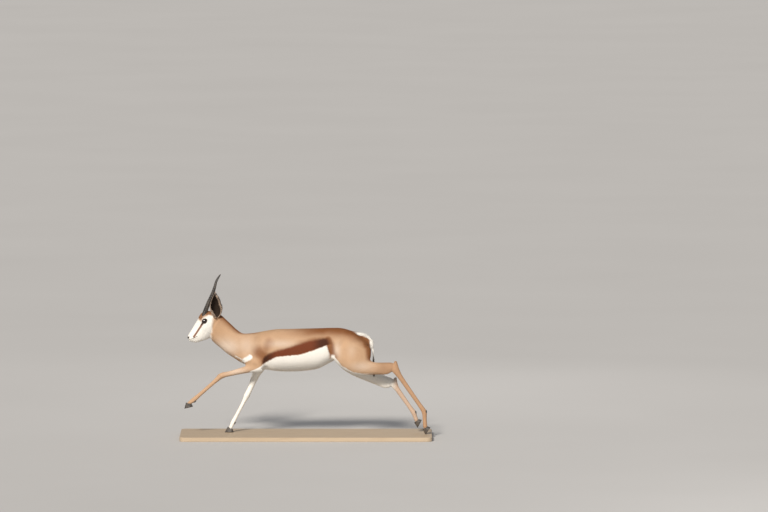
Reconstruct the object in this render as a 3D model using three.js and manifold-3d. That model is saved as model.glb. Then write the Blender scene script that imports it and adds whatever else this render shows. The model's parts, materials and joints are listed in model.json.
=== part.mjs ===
// A springbok at life size, a still model in the stretched stride of a run, on a flat display base.
// Millimetres, +Z up. The animal faces -X and its left side is -Y. The origin is the middle of the
// underside of the base. Heights in the tables below are above the top of the base.
import * as THREE from "three";
import { mergeVertices } from "three/addons/utils/BufferGeometryUtils.js";
import Module from "manifold-3d";

const wasm = await Module();
wasm.setup();

// Driving dimensions
const BASE = { length: 1512, width: 500, thick: 25, corner: 30, bevel: 2 };
const GAP = 0.3; // what touching solids keep clear of each other
const JOINT_TURN = 0.3; // share of a bone, at each end, over which a limb turns through its joint
const NARROWER_ABOVE = { trunk: -0.06, crest: -0.3 }; // how the half width changes up a section
const SIDES = { left: -1, right: 1 };

// The trunk from the chest to the rump: x, height of the back, height of the belly, half width
const TRUNK = [
  [-400, 592, 440, 44], [-360, 604, 410, 66], [-312, 608, 394, 82], [-252, 619, 385, 92],
  [-180, 630, 375, 98], [-96, 632, 372, 103], [-12, 634, 376, 105], [72, 636, 389, 101],
  [144, 638, 424, 95], [216, 636, 462, 90], [282, 616, 494, 82], [336, 586, 502, 66],
  [372, 553, 508, 42], [386, 535, 514, 22],
];

// The neck from the head to the shoulders: top x and height, underside x and height, half width
const NECK = [
  [-530, 722, -578, 590, 40], [-506, 712, -567, 563, 43], [-480, 689, -546, 540, 45],
  [-450, 661, -516, 514, 48], [-414, 627, -477, 481, 54], [-381, 606, -432, 451, 62],
  [-342, 603, -378, 418, 72], [-300, 600, -324, 404, 80],
];

// The head from the nose to the nape: brow side x and height, jaw side x and height, half width,
// and how much wider the brow side is than the jaw side
const HEAD = [
  [-714, 579, -709, 569, 8, 0], [-709, 592, -699, 556, 17, 0.05], [-699, 609, -681, 549, 21, 0.05],
  [-685, 631, -661, 547, 23, -0.05], [-670, 656, -638, 552, 26, -0.02],
  [-655, 681, -614, 560, 33, 0.1], [-643, 705, -590, 568, 41, 0.16], [-627, 726, -570, 580, 46, 0.16],
  [-602, 737, -549, 602, 46, 0.1], [-572, 737, -530, 627, 42, 0.05], [-543, 722, -514, 646, 34, 0],
];

// Joints of the four legs, seen from the side, and how far each lies from the middle plane
const FORELEGS = {
  left: { joints: [[-286, 408], [-507, 354], [-675, 208], [-704, 186]], out: [62, 57, 52, 50], toe: -166 },
  right: { joints: [[-280, 396], [-354, 226], [-442, 62], [-457, 25.2]], out: [62, 57, 50, 48], toe: 180 },
};
const HINDLEGS = {
  left: { joints: [[531, 394], [708, 136], [715, 39]], out: [62, 58, 58], toe: -125 },
  right: { joints: [[524, 292], [646, 116], [664, 68]], out: [62, 57, 56], toe: -118 },
};

// Sections of a foreleg: bone, place along it, reach to the front, reach to the back, half width
const FORELEG_SECTIONS = [
  [0, -0.1, 44, 40, 30], [0, 0.06, 36, 35, 29], [0, 0.25, 27, 25, 23], [0, 0.5, 21, 20, 18],
  [0, 0.78, 17, 17, 15.5], [0, 0.93, 19, 17, 17], [1, 0.05, 19, 17, 17], [1, 0.15, 15, 15, 14],
  [1, 0.32, 12, 13, 11], [1, 0.7, 11, 13, 10], [1, 0.9, 12, 15, 12], [2, 0.1, 13, 17, 13.5],
  [2, 0.55, 11, 13, 13], [2, 1.3, 13, 15, 15.5],
];

// Sections of a hind leg from the point of the hock down, in the same order
const HIND_CANNON_SECTIONS = [
  [0, -0.128, -26, 31, 3], [0, -0.115, -22, 34, 7], [0, -0.09, -12, 37, 11],
  [0, -0.03, 14, 32, 15], [0, 0.03, 20, 26, 17], [0, 0.1, 18, 21, 15], [0, 0.2, 15, 17, 12],
  [0, 0.5, 13, 15, 10.5], [0, 0.8, 12, 15, 10.5], [0, 0.93, 13, 17, 12.5], [1, 0.06, 14, 18, 14],
  [1, 0.5, 12, 14, 13], [1, 1.15, 14, 16, 16],
];

// Thigh and shank: front x and height, back x and height, half width, distance from the middle
const THIGHS = {
  left: [
    [212, 590, 330, 572, 24, 38], [170, 540, 384, 528, 40, 62], [158, 466, 392, 480, 45, 69],
    [202, 410, 388, 452, 42, 72], [273, 368, 408, 439, 36, 71], [342, 357, 440, 436, 30, 69],
    [414, 360, 478, 435, 23, 68], [476, 360, 514, 433, 17, 64], [508, 372, 538, 422, 12, 62],
  ],
  right: [
    [212, 590, 330, 572, 24, 38], [170, 540, 384, 528, 40, 62], [160, 462, 391, 476, 45, 69],
    [214, 384, 384, 436, 42, 72], [288, 338, 400, 398, 36, 71], [362, 308, 432, 371, 30, 69],
    [422, 284, 472, 342, 23, 68], [470, 266, 510, 328, 17, 64], [502, 270, 530, 316, 12, 62],
  ],
};

// Muscles that show under the skin: middle x, distance out and height, three radii, tilt in degrees
const MUSCLES = {
  blade: [-268, 57, 498, 100, 34, 54, 60],
  shoulderPoint: [-332, 49, 462, 60, 33, 54, 30],
  upperArm: [-288, 60, 432, 66, 32, 44, -18],
  haunch: [250, 56, 540, 84, 36, 50, -12],
};

// The eyeball, the ball of the lids over it, and the almond opening between them
const EYE = {
  x: -609, out: 28, height: 680, radius: 17, lid: 20.6,
  long: 30, tall: 21, tilt: 38, corner: 1.3, points: 14,
};
const NOSTRIL = { x: -704, out: 12.5, height: 580, radii: [8.5, 5, 4.4], tilt: 40 };

// The line of the mouth from the lips to its corner, the depth and width of its groove, and how
// wide and how high the lips stand along it
const MOUTH = {
  points: [[-722, 562], [-700, 566], [-676, 573], [-652, 588]],
  depth: 5, groove: 2.6, lips: 15, lipRise: 2.4,
};
const HEAD_REACH = 40; // half of a length that passes right through the head from side to side

// Each ear: root x, distance out and height, length, widest half width, wall, lean back and out,
// how far it opens to the back, and the radius of the bulb that it grows from
const EAR = {
  x: -541, out: 34, height: 704, length: 158, half: 31, wall: 3, lean: -3, splay: 21, back: 0.75, bulb: 15,
};

// The leaf of an ear from its root (0) to its tip (1): where its rings lie, points across one
// layer, width at the root, what the belly adds, where the belly lies, how blunt the point is,
// least half width, half angle of the roll at the root, and how much it unrolls low down and above
const LEAF = {
  levels: [0, 0.08, 0.18, 0.3, 0.42, 0.55, 0.68, 0.8, 0.9, 0.97, 1],
  points: 9, root: 0.36, belly: 0.9, low: 0.85, blunt: 5, least: 2.2,
  roll: 150, unroll: 70, unrolledAt: 0.4, open: 20, set: 0.35,
};

// Middle line of a horn: x, distance out and height, and the radius there
const HORN = [
  [-612, 20, 712, 13.5], [-602, 22, 742, 13], [-584, 27, 787, 12], [-564, 31, 832, 10.5],
  [-549, 32, 876, 8.5], [-538, 27, 916, 6.5], [-520, 17, 948, 4], [-512, 13, 957, 1.4],
];
// The rings of a horn: how high they stand, the groove between them as a share of that, where
// they begin and end, and how many levels lie between two of the points above
const HORN_RINGS = { height: 1.1, groove: 0.4, from: 0.13, to: 0.74, steps: 5 };

// Middle line of the tail: x, height, radius
const TAIL = [
  [346, 552, 15], [378, 559, 11], [394, 544, 9], [400, 512, 7.5], [404, 474, 6.5], [408, 440, 6],
  [411, 416, 4],
];
// The raised white hair over the root of the tail: x, height of its crest, depth, half width
const RUMP_CREST = [
  [262, 622, 30, 8], [300, 618, 52, 17], [336, 612, 78, 22], [366, 600, 84, 22], [390, 580, 72, 17],
  [404, 562, 50, 9],
];
const LOCK_TURN = 2.4; // radians from one lock of the tuft to the next
const TUFT = {
  locks: 6, length: 74, half: 5, thick: 2.6, spread: 7, from: 0.6, to: 0.94,
  levels: [[0, 0.6], [0.3, 1], [0.7, 0.8], [1, 0.12]], sides: 6, rootBend: 0.3, swing: 2.2,
};

// A claw: heel and toe reach and width at the sole and at the top, half the slot between two claws,
// heights, levels of its rings, places along its outer and inner edge, and how round it is
const CLAW = {
  sole: { heel: -21, toe: 32, wide: 18 }, top: { heel: -17, toe: 14, wide: 14.5 },
  slot: 1.2, heelHeight: 17, toeHeight: 33, levels: [0, 0.12, 0.5, 1],
  outer: [0, 0.07, 0.22, 0.42, 0.62, 0.8, 0.93, 1], inner: [0.8, 0.45, 0.12],
  heelRound: 5, heelLeast: 0.04, toeRound: 2.4, toeBlunt: 0.75,
};
const DEWCLAW = { radii: [5.5, 4.5, 9], back: 18, out: 9 };

// Where the body is parted: middle x and height, direction across the cut in degrees, the plate's
// length and width, and how far its middle lies to the right
const CUTS = {
  nape: [-533, 636, -22, 230, 200, 0],
  neckRoot: [-408, 530, -18, 214, 200, 0],
  groin: [276, 472, 105, 256, 330, 0],
  dock: [387, 548, 0, 130, 60, 0],
  leftElbow: [-331, 400, 68, 156, 84, -66],
  rightElbow: [-290, 372, 66, 120, 84, 66],
};
const LIMB_CUT = { fore: { bone: 1, place: 0.11 }, hind: { bone: 0, place: 0.13 }, size: 74 };

// Points round a ring of each part
const ROUND = { trunk: 28, neck: 24, head: 28, crest: 14, thigh: 18, limb: 12, tail: 12, horn: 10 };
const BALL = { muscle: [14, 8], lid: [18, 9], eye: [16, 8], pit: [12, 8], bulb: [14, 8], dewclaw: [8, 6] };

// The middle of each piece of the parted body, by which it gets its name
const MIDDLES = { head: [-620, 0, 640], neck: [-470, 0, 580], torso: [0, 0, 510], tail: [405, 0, 480] };
const THIGH_MIDDLE = { x: 350, out: 76, height: 420 };
const SCRAP = 1000; // cubic millimetres: what a cut leaves that is smaller than this is dropped

const v = (x, y, z) => new THREE.Vector3(x, y, z);
const rad = THREE.MathUtils.degToRad;

// A smooth run of rows through a few given ones: every column is a Catmull-Rom curve
function smooth(rows, steps) {
  const out = [];
  for (let i = 0; i < rows.length - 1; i += 1) {
    const [a, b, c, d] = [-1, 0, 1, 2].map((k) => rows[Math.min(Math.max(i + k, 0), rows.length - 1)]);
    for (let k = 0; k < steps; k += 1) {
      const t = k / steps;
      out.push(b.map((value, j) => 0.5 * (2 * value + (c[j] - a[j]) * t
        + (2 * a[j] - 5 * value + 4 * c[j] - d[j]) * t * t
        + (3 * value - a[j] - 3 * c[j] + d[j]) * t * t * t)));
    }
  }
  out.push([...rows[rows.length - 1]]);
  return out;
}

// A closed solid from rings of points. Each end is closed by a fan round its middle, or, for a
// ring that folds back on itself like an ear's wall, by a strip between its two layers.
function loft(rings, folded = false) {
  const n = rings[0].length;
  const points = rings.flat();
  const faces = [];
  for (let i = 0; i < rings.length - 1; i += 1) {
    for (let j = 0; j < n; j += 1) {
      const [a, b] = [i * n + j, i * n + ((j + 1) % n)];
      faces.push([a, b, b + n], [a, b + n, a + n]);
    }
  }
  for (const [end, first] of [[0, true], [rings.length - 1, false]]) {
    const at = (j) => end * n + ((j + n) % n);
    if (folded) {
      for (let j = 0; j < n / 2 - 1; j += 1) {
        const [a, b, c, d] = [at(j), at(j + 1), at(n - 2 - j), at(n - 1 - j)];
        if (first) faces.push([a, c, b], [a, d, c]);
        else faces.push([a, b, c], [a, c, d]);
      }
    } else {
      const middle = rings[end].reduce((sum, p) => sum.add(p), v(0, 0, 0)).divideScalar(n);
      points.push(middle);
      for (let j = 0; j < n; j += 1) {
        faces.push(first ? [points.length - 1, at(j + 1), at(j)] : [points.length - 1, at(j), at(j + 1)]);
      }
    }
  }
  let volume = 0;
  for (const [a, b, c] of faces) volume += points[a].dot(points[b].clone().cross(points[c]));
  const triangles = volume > 0 ? faces : faces.map(([a, b, c]) => [a, c, b]);
  return new wasm.Manifold(new wasm.Mesh({
    numProp: 3,
    vertProperties: new Float32Array(points.flatMap((p) => [p.x, p.y, p.z])),
    triVerts: new Uint32Array(triangles.flat()),
  }));
}

// A three.js geometry as a solid that can be cut and joined
function solidOf(geometry) {
  const bare = geometry.clone();
  bare.deleteAttribute("normal");
  bare.deleteAttribute("uv");
  const merged = mergeVertices(bare, 1e-3);
  return new wasm.Manifold(new wasm.Mesh({
    numProp: 3,
    vertProperties: new Float32Array(merged.attributes.position.array),
    triVerts: new Uint32Array(merged.index.array),
  }));
}

// One section: a rounded ring about a middle, with its own reach up and its half width to +Y.
// The half width grows towards the top of the ring by the share "egg".
function section(middle, up, half, egg, count) {
  const ring = [];
  for (let k = 0; k < count; k += 1) {
    const angle = (2 * Math.PI * k) / count;
    const side = Math.sin(angle) * half * (1 + egg * Math.cos(angle));
    ring.push(middle.clone().addScaledVector(up, Math.cos(angle)).add(v(0, side, 0)));
  }
  return ring;
}

// Rings between an upper and a lower edge that are seen from the side, all in the middle plane
function edgeRings(rows, steps, count, grow = 0) {
  return smooth(rows, steps).map(([x1, z1, x2, z2, half, egg = 0]) => {
    const up = v((x1 - x2) / 2, 0, (z1 - z2) / 2);
    up.setLength(Math.max(up.length() + grow, 1));
    return section(v((x1 + x2) / 2, 0, (z1 + z2) / 2), up, Math.max(half + grow, 1), egg, count);
  });
}

function trunkSolid() {
  const rows = TRUNK.map(([x, top, bottom, half]) => [x, top, x, bottom, half, NARROWER_ABOVE.trunk]);
  return loft(edgeRings(rows, 2, ROUND.trunk));
}

function crestSolid() {
  const egg = NARROWER_ABOVE.crest;
  const rows = RUMP_CREST.map(([x, top, deep, half]) => [x, top, x, top - deep, half, egg]);
  return loft(edgeRings(rows, 2, ROUND.crest));
}

// Direction of a limb at a place on one of its bones, turned gradually through each joint
function limbDirection(joints, bone, place) {
  const along = (k) => {
    const [a, b] = [joints[k], joints[k + 1]];
    return Math.atan2(b[1] - a[1], b[0] - a[0]);
  };
  const here = along(bone);
  const towards = (other, far) => here + (along(other) - here) * 0.5 * (1 - far / JOINT_TURN);
  if (place < JOINT_TURN && bone > 0) return towards(bone - 1, place);
  if (1 - place < JOINT_TURN && bone < joints.length - 2) return towards(bone + 1, 1 - place);
  return here;
}

// Rings of a limb: sections set along its bones, in the plane of the joints
function limbRings(leg, sections, side, steps, count) {
  const rows = sections.map(([bone, place, front, back, half]) => {
    const [a, b] = [leg.joints[bone], leg.joints[bone + 1]];
    const angle = limbDirection(leg.joints, bone, place);
    const [nx, nz] = [Math.sin(angle), -Math.cos(angle)];
    const x = a[0] + (b[0] - a[0]) * place;
    const z = a[1] + (b[1] - a[1]) * place;
    const out = leg.out[bone] + (leg.out[bone + 1] - leg.out[bone]) * place;
    return [x + nx * front, z + nz * front, x - nx * back, z - nz * back, half, side * out];
  });
  return smooth(rows, steps).map(([x1, z1, x2, z2, half, out]) => (
    section(v((x1 + x2) / 2, out, (z1 + z2) / 2), v((x1 - x2) / 2, 0, (z1 - z2) / 2), half, 0, count)));
}

function muscle([x, out, height, long, half, tall, tilt], side) {
  const ball = new THREE.SphereGeometry(1, ...BALL.muscle);
  ball.scale(long, half, tall);
  ball.rotateY(rad(tilt));
  ball.translate(x, side * out, height);
  return solidOf(ball);
}

// A thin plate that parts two regions: its middle, the direction across the cut, its two sizes
function cutPlate(x, z, angle, long, wide, y = 0) {
  const plate = new THREE.BoxGeometry(GAP, wide, long);
  plate.rotateY(rad(-angle));
  plate.translate(x, y, z);
  return solidOf(plate);
}

// The cut across a limb just below its knee or hock
function limbCut(leg, { bone, place }, side) {
  const [a, b] = [leg.joints[bone], leg.joints[bone + 1]];
  const angle = THREE.MathUtils.radToDeg(Math.atan2(b[1] - a[1], b[0] - a[0]));
  const [x, z] = [a[0] + (b[0] - a[0]) * place, a[1] + (b[1] - a[1]) * place];
  return cutPlate(x, z, angle, LIMB_CUT.size, LIMB_CUT.size, side * leg.out[bone]);
}

// Half of the foot: rings from the sole to the top of the claw, in the foot's own frame
function clawRings(side) {
  return CLAW.levels.map((s) => {
    const mix = (key) => CLAW.sole[key] + (CLAW.top[key] - CLAW.sole[key]) * s;
    const [heel, toe, wide] = [mix("heel"), mix("toe"), mix("wide")];
    const at = (t, reach) => v(
      heel + (toe - heel) * t,
      side * (CLAW.slot + wide * reach),
      s * (CLAW.heelHeight + (CLAW.toeHeight - CLAW.heelHeight) * t),
    );
    const heelEnd = (t) => Math.sqrt(Math.max(1 - (1 - t) ** CLAW.heelRound, CLAW.heelLeast));
    const toeEnd = (t) => (1 - t ** CLAW.toeRound) ** CLAW.toeBlunt;
    const outer = CLAW.outer.map((t) => at(t, heelEnd(t) * toeEnd(t)));
    return [...outer, ...CLAW.inner.map((t) => at(t, 0))];
  });
}

// Where a foot sits: the toe's direction is an angle in the side view, and the top of the claws
// meets the end of the pastern
function footMatrix(leg, side) {
  const angle = rad(leg.toe);
  const last = leg.joints.length - 1;
  const [x, z] = leg.joints[last];
  const toe = v(Math.cos(angle), 0, Math.sin(angle));
  const up = v(Math.sin(angle), 0, -Math.cos(angle));
  const across = up.clone().cross(toe);
  const topMiddle = (CLAW.top.heel + CLAW.top.toe) / 2;
  const topHeight = (CLAW.heelHeight + CLAW.toeHeight) / 2;
  const place = v(x, side * leg.out[last], z)
    .addScaledVector(toe, -topMiddle).addScaledVector(up, -topHeight);
  return new THREE.Matrix4().makeBasis(toe, across, up).setPosition(place);
}

// The plane through the tops of the claws: its direction up the leg and its distance
function coronetPlane(leg, side) {
  const slope = Math.atan2(CLAW.toeHeight - CLAW.heelHeight, CLAW.top.toe - CLAW.top.heel);
  const matrix = footMatrix(leg, side);
  const normal = v(-Math.sin(slope), 0, Math.cos(slope)).transformDirection(matrix);
  const point = v(CLAW.top.toe, 0, CLAW.toeHeight).applyMatrix4(matrix);
  return { normal, distance: normal.dot(point) };
}

function feet(leg, side, name) {
  const matrix = footMatrix(leg, side);
  return Object.entries({ inner: side, outer: -side }).map(([which, hand]) => {
    const rings = clawRings(hand).map((ring) => ring.map((p) => p.applyMatrix4(matrix)));
    const claw = loft(rings).trimByPlane([0, 0, 1], GAP);
    return { name: `hoof_${name}_${which}`, solid: claw, finish: "horn" };
  });
}

// Two small claws behind the fetlock
function dewclaws(leg, side) {
  const last = leg.joints.length - 1;
  const [x, z] = leg.joints[last - 1];
  const angle = limbDirection(leg.joints, last - 1, 0);
  return [-1, 1].map((hand) => {
    const ball = new THREE.SphereGeometry(1, ...BALL.dewclaw);
    ball.scale(...DEWCLAW.radii);
    ball.rotateY(rad(90) - angle);
    ball.translate(
      x - Math.sin(angle) * DEWCLAW.back,
      side * leg.out[last - 1] + hand * DEWCLAW.out,
      z + Math.cos(angle) * DEWCLAW.back,
    );
    return solidOf(ball);
  });
}

// A frame along a line of points in space: the direction and two sides at each point
function spaceRings(line, radii, count) {
  const curve = line.map(([x, y, z]) => v(x, y, z));
  return curve.map((p, i) => {
    const next = curve[Math.min(i + 1, curve.length - 1)];
    const before = curve[Math.max(i - 1, 0)];
    const along = next.clone().sub(before).normalize();
    const a = along.clone().cross(v(0, 1, 0)).normalize();
    const b = along.clone().cross(a);
    return Array.from({ length: count }, (_, k) => {
      const angle = (2 * Math.PI * k) / count;
      const [onA, onB] = [radii[i] * Math.cos(angle), radii[i] * Math.sin(angle)];
      return p.clone().addScaledVector(a, onA).addScaledVector(b, onB);
    });
  });
}

function hornSolid(side) {
  const rows = smooth(HORN.map(([x, out, z, r]) => [x, side * out, z, r]), HORN_RINGS.steps);
  const last = rows.length - 1;
  const radii = rows.map((row, i) => {
    const t = i / last;
    const ridged = t > HORN_RINGS.from && t < HORN_RINGS.to;
    return row[3] + (ridged ? HORN_RINGS.height * (i % 2 === 0 ? 1 : -HORN_RINGS.groove) : 0);
  });
  return loft(spaceRings(rows, radii, ROUND.horn));
}

// An ear is a leaf with a wall, rolled into a cup that opens outwards and narrows to its root
function earSolid(side) {
  const open = v(EAR.back, side, 0).normalize();
  const leanBack = v(0, 0, 1).applyAxisAngle(v(0, 1, 0), rad(EAR.lean));
  const rise = leanBack.applyAxisAngle(v(1, 0, 0), -side * rad(EAR.splay));
  const across = rise.clone().cross(open).normalize();
  const outward = across.clone().cross(rise).normalize();
  const root = v(EAR.x, side * EAR.out, EAR.height);
  const rings = LEAF.levels.map((s) => {
    const belly = LEAF.root + LEAF.belly * Math.sin(Math.PI * s ** LEAF.low);
    const half = Math.max(EAR.half * belly * (1 - s ** LEAF.blunt), LEAF.least);
    const curl = rad(LEAF.roll - LEAF.unroll * Math.min(s / LEAF.unrolledAt, 1) - LEAF.open * s);
    const radius = half / Math.sin(Math.min(curl, Math.PI / 2));
    const wall = Math.min(EAR.wall, half / 2);
    const arc = (r) => Array.from({ length: LEAF.points }, (_, k) => {
      const angle = curl * (-1 + (2 * k) / (LEAF.points - 1));
      return root.clone().addScaledVector(rise, EAR.length * s)
        .addScaledVector(across, r * Math.sin(angle))
        .addScaledVector(outward, radius * LEAF.set - r * Math.cos(angle));
    });
    return [...arc(radius), ...arc(radius - wall).reverse()];
  });
  const bulb = new THREE.SphereGeometry(EAR.bulb, ...BALL.bulb);
  bulb.translate(...root.toArray());
  return loft(rings, true).add(solidOf(bulb));
}

function tailSolid() {
  const rows = smooth(TAIL, 3);
  const line = rows.map(([x, z]) => [x, 0, z]);
  let solid = loft(spaceRings(line, rows.map((row) => row[2]), ROUND.tail));
  for (let k = 0; k < TUFT.locks; k += 1) {
    const place = TUFT.from + ((TUFT.to - TUFT.from) * k) / (TUFT.locks - 1);
    const [x, z] = rows[Math.round(place * (rows.length - 1))];
    const turn = k * LOCK_TURN;
    const lean = v(Math.cos(turn) * TUFT.spread, Math.sin(turn) * TUFT.spread, 0);
    const rings = TUFT.levels.map(([t, share]) => {
      const bend = TUFT.rootBend + (1 - TUFT.rootBend) * Math.sin(t * TUFT.swing);
      const middle = v(x, 0, z - TUFT.length * t).addScaledVector(lean, bend);
      const out = lean.clone().normalize();
      const wide = out.clone().cross(v(0, 0, 1));
      return Array.from({ length: TUFT.sides }, (_, j) => {
        const angle = (2 * Math.PI * j) / TUFT.sides;
        return middle.clone().addScaledVector(wide, Math.cos(angle) * TUFT.half * share)
          .addScaledVector(out, Math.sin(angle) * TUFT.thick * share);
      });
    });
    solid = solid.add(loft(rings));
  }
  return solid;
}

// A flat strip that follows the line of the mouth, as wide as given, right through the muzzle
function mouthStrip(wide) {
  const rows = smooth(MOUTH.points, 2);
  const edge = (sign) => rows.map(([x, z], i) => {
    const [a, b] = [rows[Math.max(i - 1, 0)], rows[Math.min(i + 1, rows.length - 1)]];
    const angle = Math.atan2(b[1] - a[1], b[0] - a[0]);
    return [x - (Math.sin(angle) * wide * sign) / 2, z + (Math.cos(angle) * wide * sign) / 2];
  });
  const outline = [...edge(1), ...edge(-1).reverse()].map(([x, z]) => new THREE.Vector2(x, z));
  const strip = new THREE.ExtrudeGeometry(new THREE.Shape(outline), {
    depth: 2 * HEAD_REACH, bevelEnabled: false, steps: 1,
  });
  strip.rotateX(Math.PI / 2);
  strip.translate(0, HEAD_REACH, 0);
  return solidOf(strip);
}

function eyeBall(side, radius, segments) {
  const ball = new THREE.SphereGeometry(radius, ...segments);
  ball.translate(EYE.x, side * EYE.out, EYE.height);
  return solidOf(ball);
}

// The opening between the lids: an almond carried outwards from the middle of the eye
function lidOpening(side) {
  const outline = Array.from({ length: EYE.points }, (_, k) => {
    const angle = (2 * Math.PI * k) / EYE.points;
    const share = Math.abs(Math.sin(angle)) ** EYE.corner * Math.sign(Math.sin(angle));
    return new THREE.Vector2((Math.cos(angle) * EYE.long) / 2, (share * EYE.tall) / 2);
  });
  const almond = new THREE.ExtrudeGeometry(new THREE.Shape(outline), {
    depth: HEAD_REACH, bevelEnabled: false, steps: 1,
  });
  almond.rotateZ(rad(side > 0 ? -EYE.tilt : EYE.tilt));
  almond.rotateX(Math.PI / 2);
  if (side > 0) almond.rotateZ(Math.PI);
  almond.translate(EYE.x, side * EYE.out, EYE.height);
  return solidOf(almond);
}

const headLoft = (grow) => loft(edgeRings(HEAD, 2, ROUND.head, grow));
const neckLoft = (grow) => loft(edgeRings(NECK, 2, ROUND.neck, grow));

function headSolid() {
  let head = headLoft(0).add(mouthStrip(MOUTH.lips).intersect(headLoft(MOUTH.lipRise)));
  head = head.subtract(mouthStrip(MOUTH.groove).subtract(headLoft(-MOUTH.depth)));
  for (const side of Object.values(SIDES)) {
    head = head.add(eyeBall(side, EYE.lid, BALL.lid)).subtract(lidOpening(side));
    head = head.subtract(eyeBall(side, EYE.radius + GAP, BALL.eye));
    const pit = new THREE.SphereGeometry(1, ...BALL.pit);
    pit.scale(...NOSTRIL.radii);
    pit.rotateY(rad(-NOSTRIL.tilt));
    pit.translate(NOSTRIL.x, side * NOSTRIL.out, NOSTRIL.height);
    head = head.subtract(solidOf(pit));
  }
  return head;
}

// The largest closed body of a solid
function largest(solid) {
  return solid.decompose().reduce((best, piece) => (piece.volume() > best.volume() ? piece : best));
}

function thighSolid(name, side) {
  return loft(smooth(THIGHS[name], 2).map(([x1, z1, x2, z2, half, out]) => {
    const middle = v((x1 + x2) / 2, side * out, (z1 + z2) / 2);
    return section(middle, v((x1 - x2) / 2, 0, (z1 - z2) / 2), half, 0, ROUND.thigh);
  }));
}

// The whole body with its cuts, and the pieces that are nodes of their own
function animal() {
  let whole = trunkSolid().add(crestSolid()).add(neckLoft(0)).add(headSolid()).add(tailSolid());
  // What the ears and horns sit on: the skin of the head and neck, with the gap added
  const bed = headLoft(GAP).add(neckLoft(GAP));
  const nodes = [];
  const cuts = Object.values(CUTS).map((row) => cutPlate(...row));
  for (const [name, side] of Object.entries(SIDES)) {
    for (const row of Object.values(MUSCLES)) whole = whole.add(muscle(row, side));
    whole = whole.add(thighSolid(name, side));
    const legs = [
      [FORELEGS[name], FORELEG_SECTIONS, "fore"], [HINDLEGS[name], HIND_CANNON_SECTIONS, "hind"],
    ];
    for (const [leg, sections, which] of legs) {
      let limb = loft(limbRings(leg, sections, side, 2, ROUND.limb));
      for (const claw of dewclaws(leg, side)) limb = limb.add(claw);
      const { normal, distance } = coronetPlane(leg, side);
      limb = limb.trimByPlane([normal.x, normal.y, normal.z], distance + GAP);
      whole = whole.add(limb);
      cuts.push(limbCut(leg, LIMB_CUT[which], side));
      nodes.push(...feet(leg, side, `${which}_${name}`));
    }
    nodes.push({ name: `ear_${name}`, solid: earSolid(side).subtract(bed), finish: "hide" });
    nodes.push({ name: `horn_${name}`, solid: hornSolid(side).subtract(bed), finish: "horn" });
    nodes.push({ name: `eye_${name}`, solid: eyeBall(side, EYE.radius, BALL.eye), finish: "eye" });
  }
  for (const cut of cuts) whole = whole.subtract(cut);
  return { whole, nodes };
}

const FINISH = {
  hide: new THREE.MeshStandardMaterial({ color: 0xb98a5e, roughness: 0.85, metalness: 0 }),
  pale: new THREE.MeshStandardMaterial({ color: 0xf0ebe0, roughness: 0.85, metalness: 0 }),
  horn: new THREE.MeshStandardMaterial({ color: 0x2c2824, roughness: 0.45, metalness: 0 }),
  eye: new THREE.MeshStandardMaterial({ color: 0x140d09, roughness: 0.05, metalness: 0 }),
  base: new THREE.MeshStandardMaterial({ color: 0xb9a68a, roughness: 0.7, metalness: 0 }),
};

function meshOf(name, solid, finish) {
  const { vertProperties, triVerts } = solid.getMesh();
  const geometry = new THREE.BufferGeometry();
  geometry.setAttribute("position", new THREE.BufferAttribute(new Float32Array(vertProperties), 3));
  geometry.setIndex(new THREE.BufferAttribute(new Uint32Array(triVerts), 1));
  const mesh = new THREE.Mesh(geometry, FINISH[finish]);
  mesh.name = name;
  mesh.position.z = BASE.thick;
  return mesh;
}

function baseGeometry() {
  const { length, width, thick, corner, bevel } = BASE;
  const [x, y] = [length / 2 - bevel, width / 2 - bevel];
  const outline = new THREE.Shape();
  outline.moveTo(-x + corner, -y);
  outline.lineTo(x - corner, -y);
  outline.absarc(x - corner, -y + corner, corner, -Math.PI / 2, 0, false);
  outline.lineTo(x, y - corner);
  outline.absarc(x - corner, y - corner, corner, 0, Math.PI / 2, false);
  outline.lineTo(-x + corner, y);
  outline.absarc(-x + corner, y - corner, corner, Math.PI / 2, Math.PI, false);
  outline.lineTo(-x, -y + corner);
  outline.absarc(-x + corner, -y + corner, corner, Math.PI, 1.5 * Math.PI, false);
  return new THREE.ExtrudeGeometry(outline, {
    depth: thick - 2 * bevel, bevelEnabled: true, bevelSize: bevel, bevelThickness: bevel,
    bevelSegments: 1, curveSegments: 3, steps: 1,
  }).translate(0, 0, bevel);
}

// The middle of a bone, which says which piece of the parted body is which
function onBone(leg, bone, side) {
  const [a, b] = [leg.joints[bone], leg.joints[bone + 1]];
  return [(a[0] + b[0]) / 2, side * leg.out[bone], (a[1] + b[1]) / 2];
}

// Each named piece of the parted body is the one whose box has its middle nearest to the place
function namedPieces(whole) {
  const places = { ...MIDDLES };
  for (const [name, side] of Object.entries(SIDES)) {
    places[`foreleg_${name}_upper`] = onBone(FORELEGS[name], 0, side);
    places[`foreleg_${name}_lower`] = onBone(FORELEGS[name], 1, side);
    places[`hindleg_${name}_upper`] = [THIGH_MIDDLE.x, side * THIGH_MIDDLE.out, THIGH_MIDDLE.height];
    places[`hindleg_${name}_lower`] = onBone(HINDLEGS[name], 0, side);
  }
  const pieces = whole.decompose().filter((piece) => piece.volume() > SCRAP);
  return Object.entries(places).map(([name, [x, y, z]]) => {
    const far = (piece) => {
      const { min, max } = piece.boundingBox();
      return Math.hypot((min[0] + max[0]) / 2 - x, (min[1] + max[1]) / 2 - y, (min[2] + max[2]) / 2 - z);
    };
    const solid = pieces.reduce((best, other) => (far(other) < far(best) ? other : best));
    return { name, solid, finish: name.startsWith("foreleg_right") ? "pale" : "hide" };
  });
}

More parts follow.
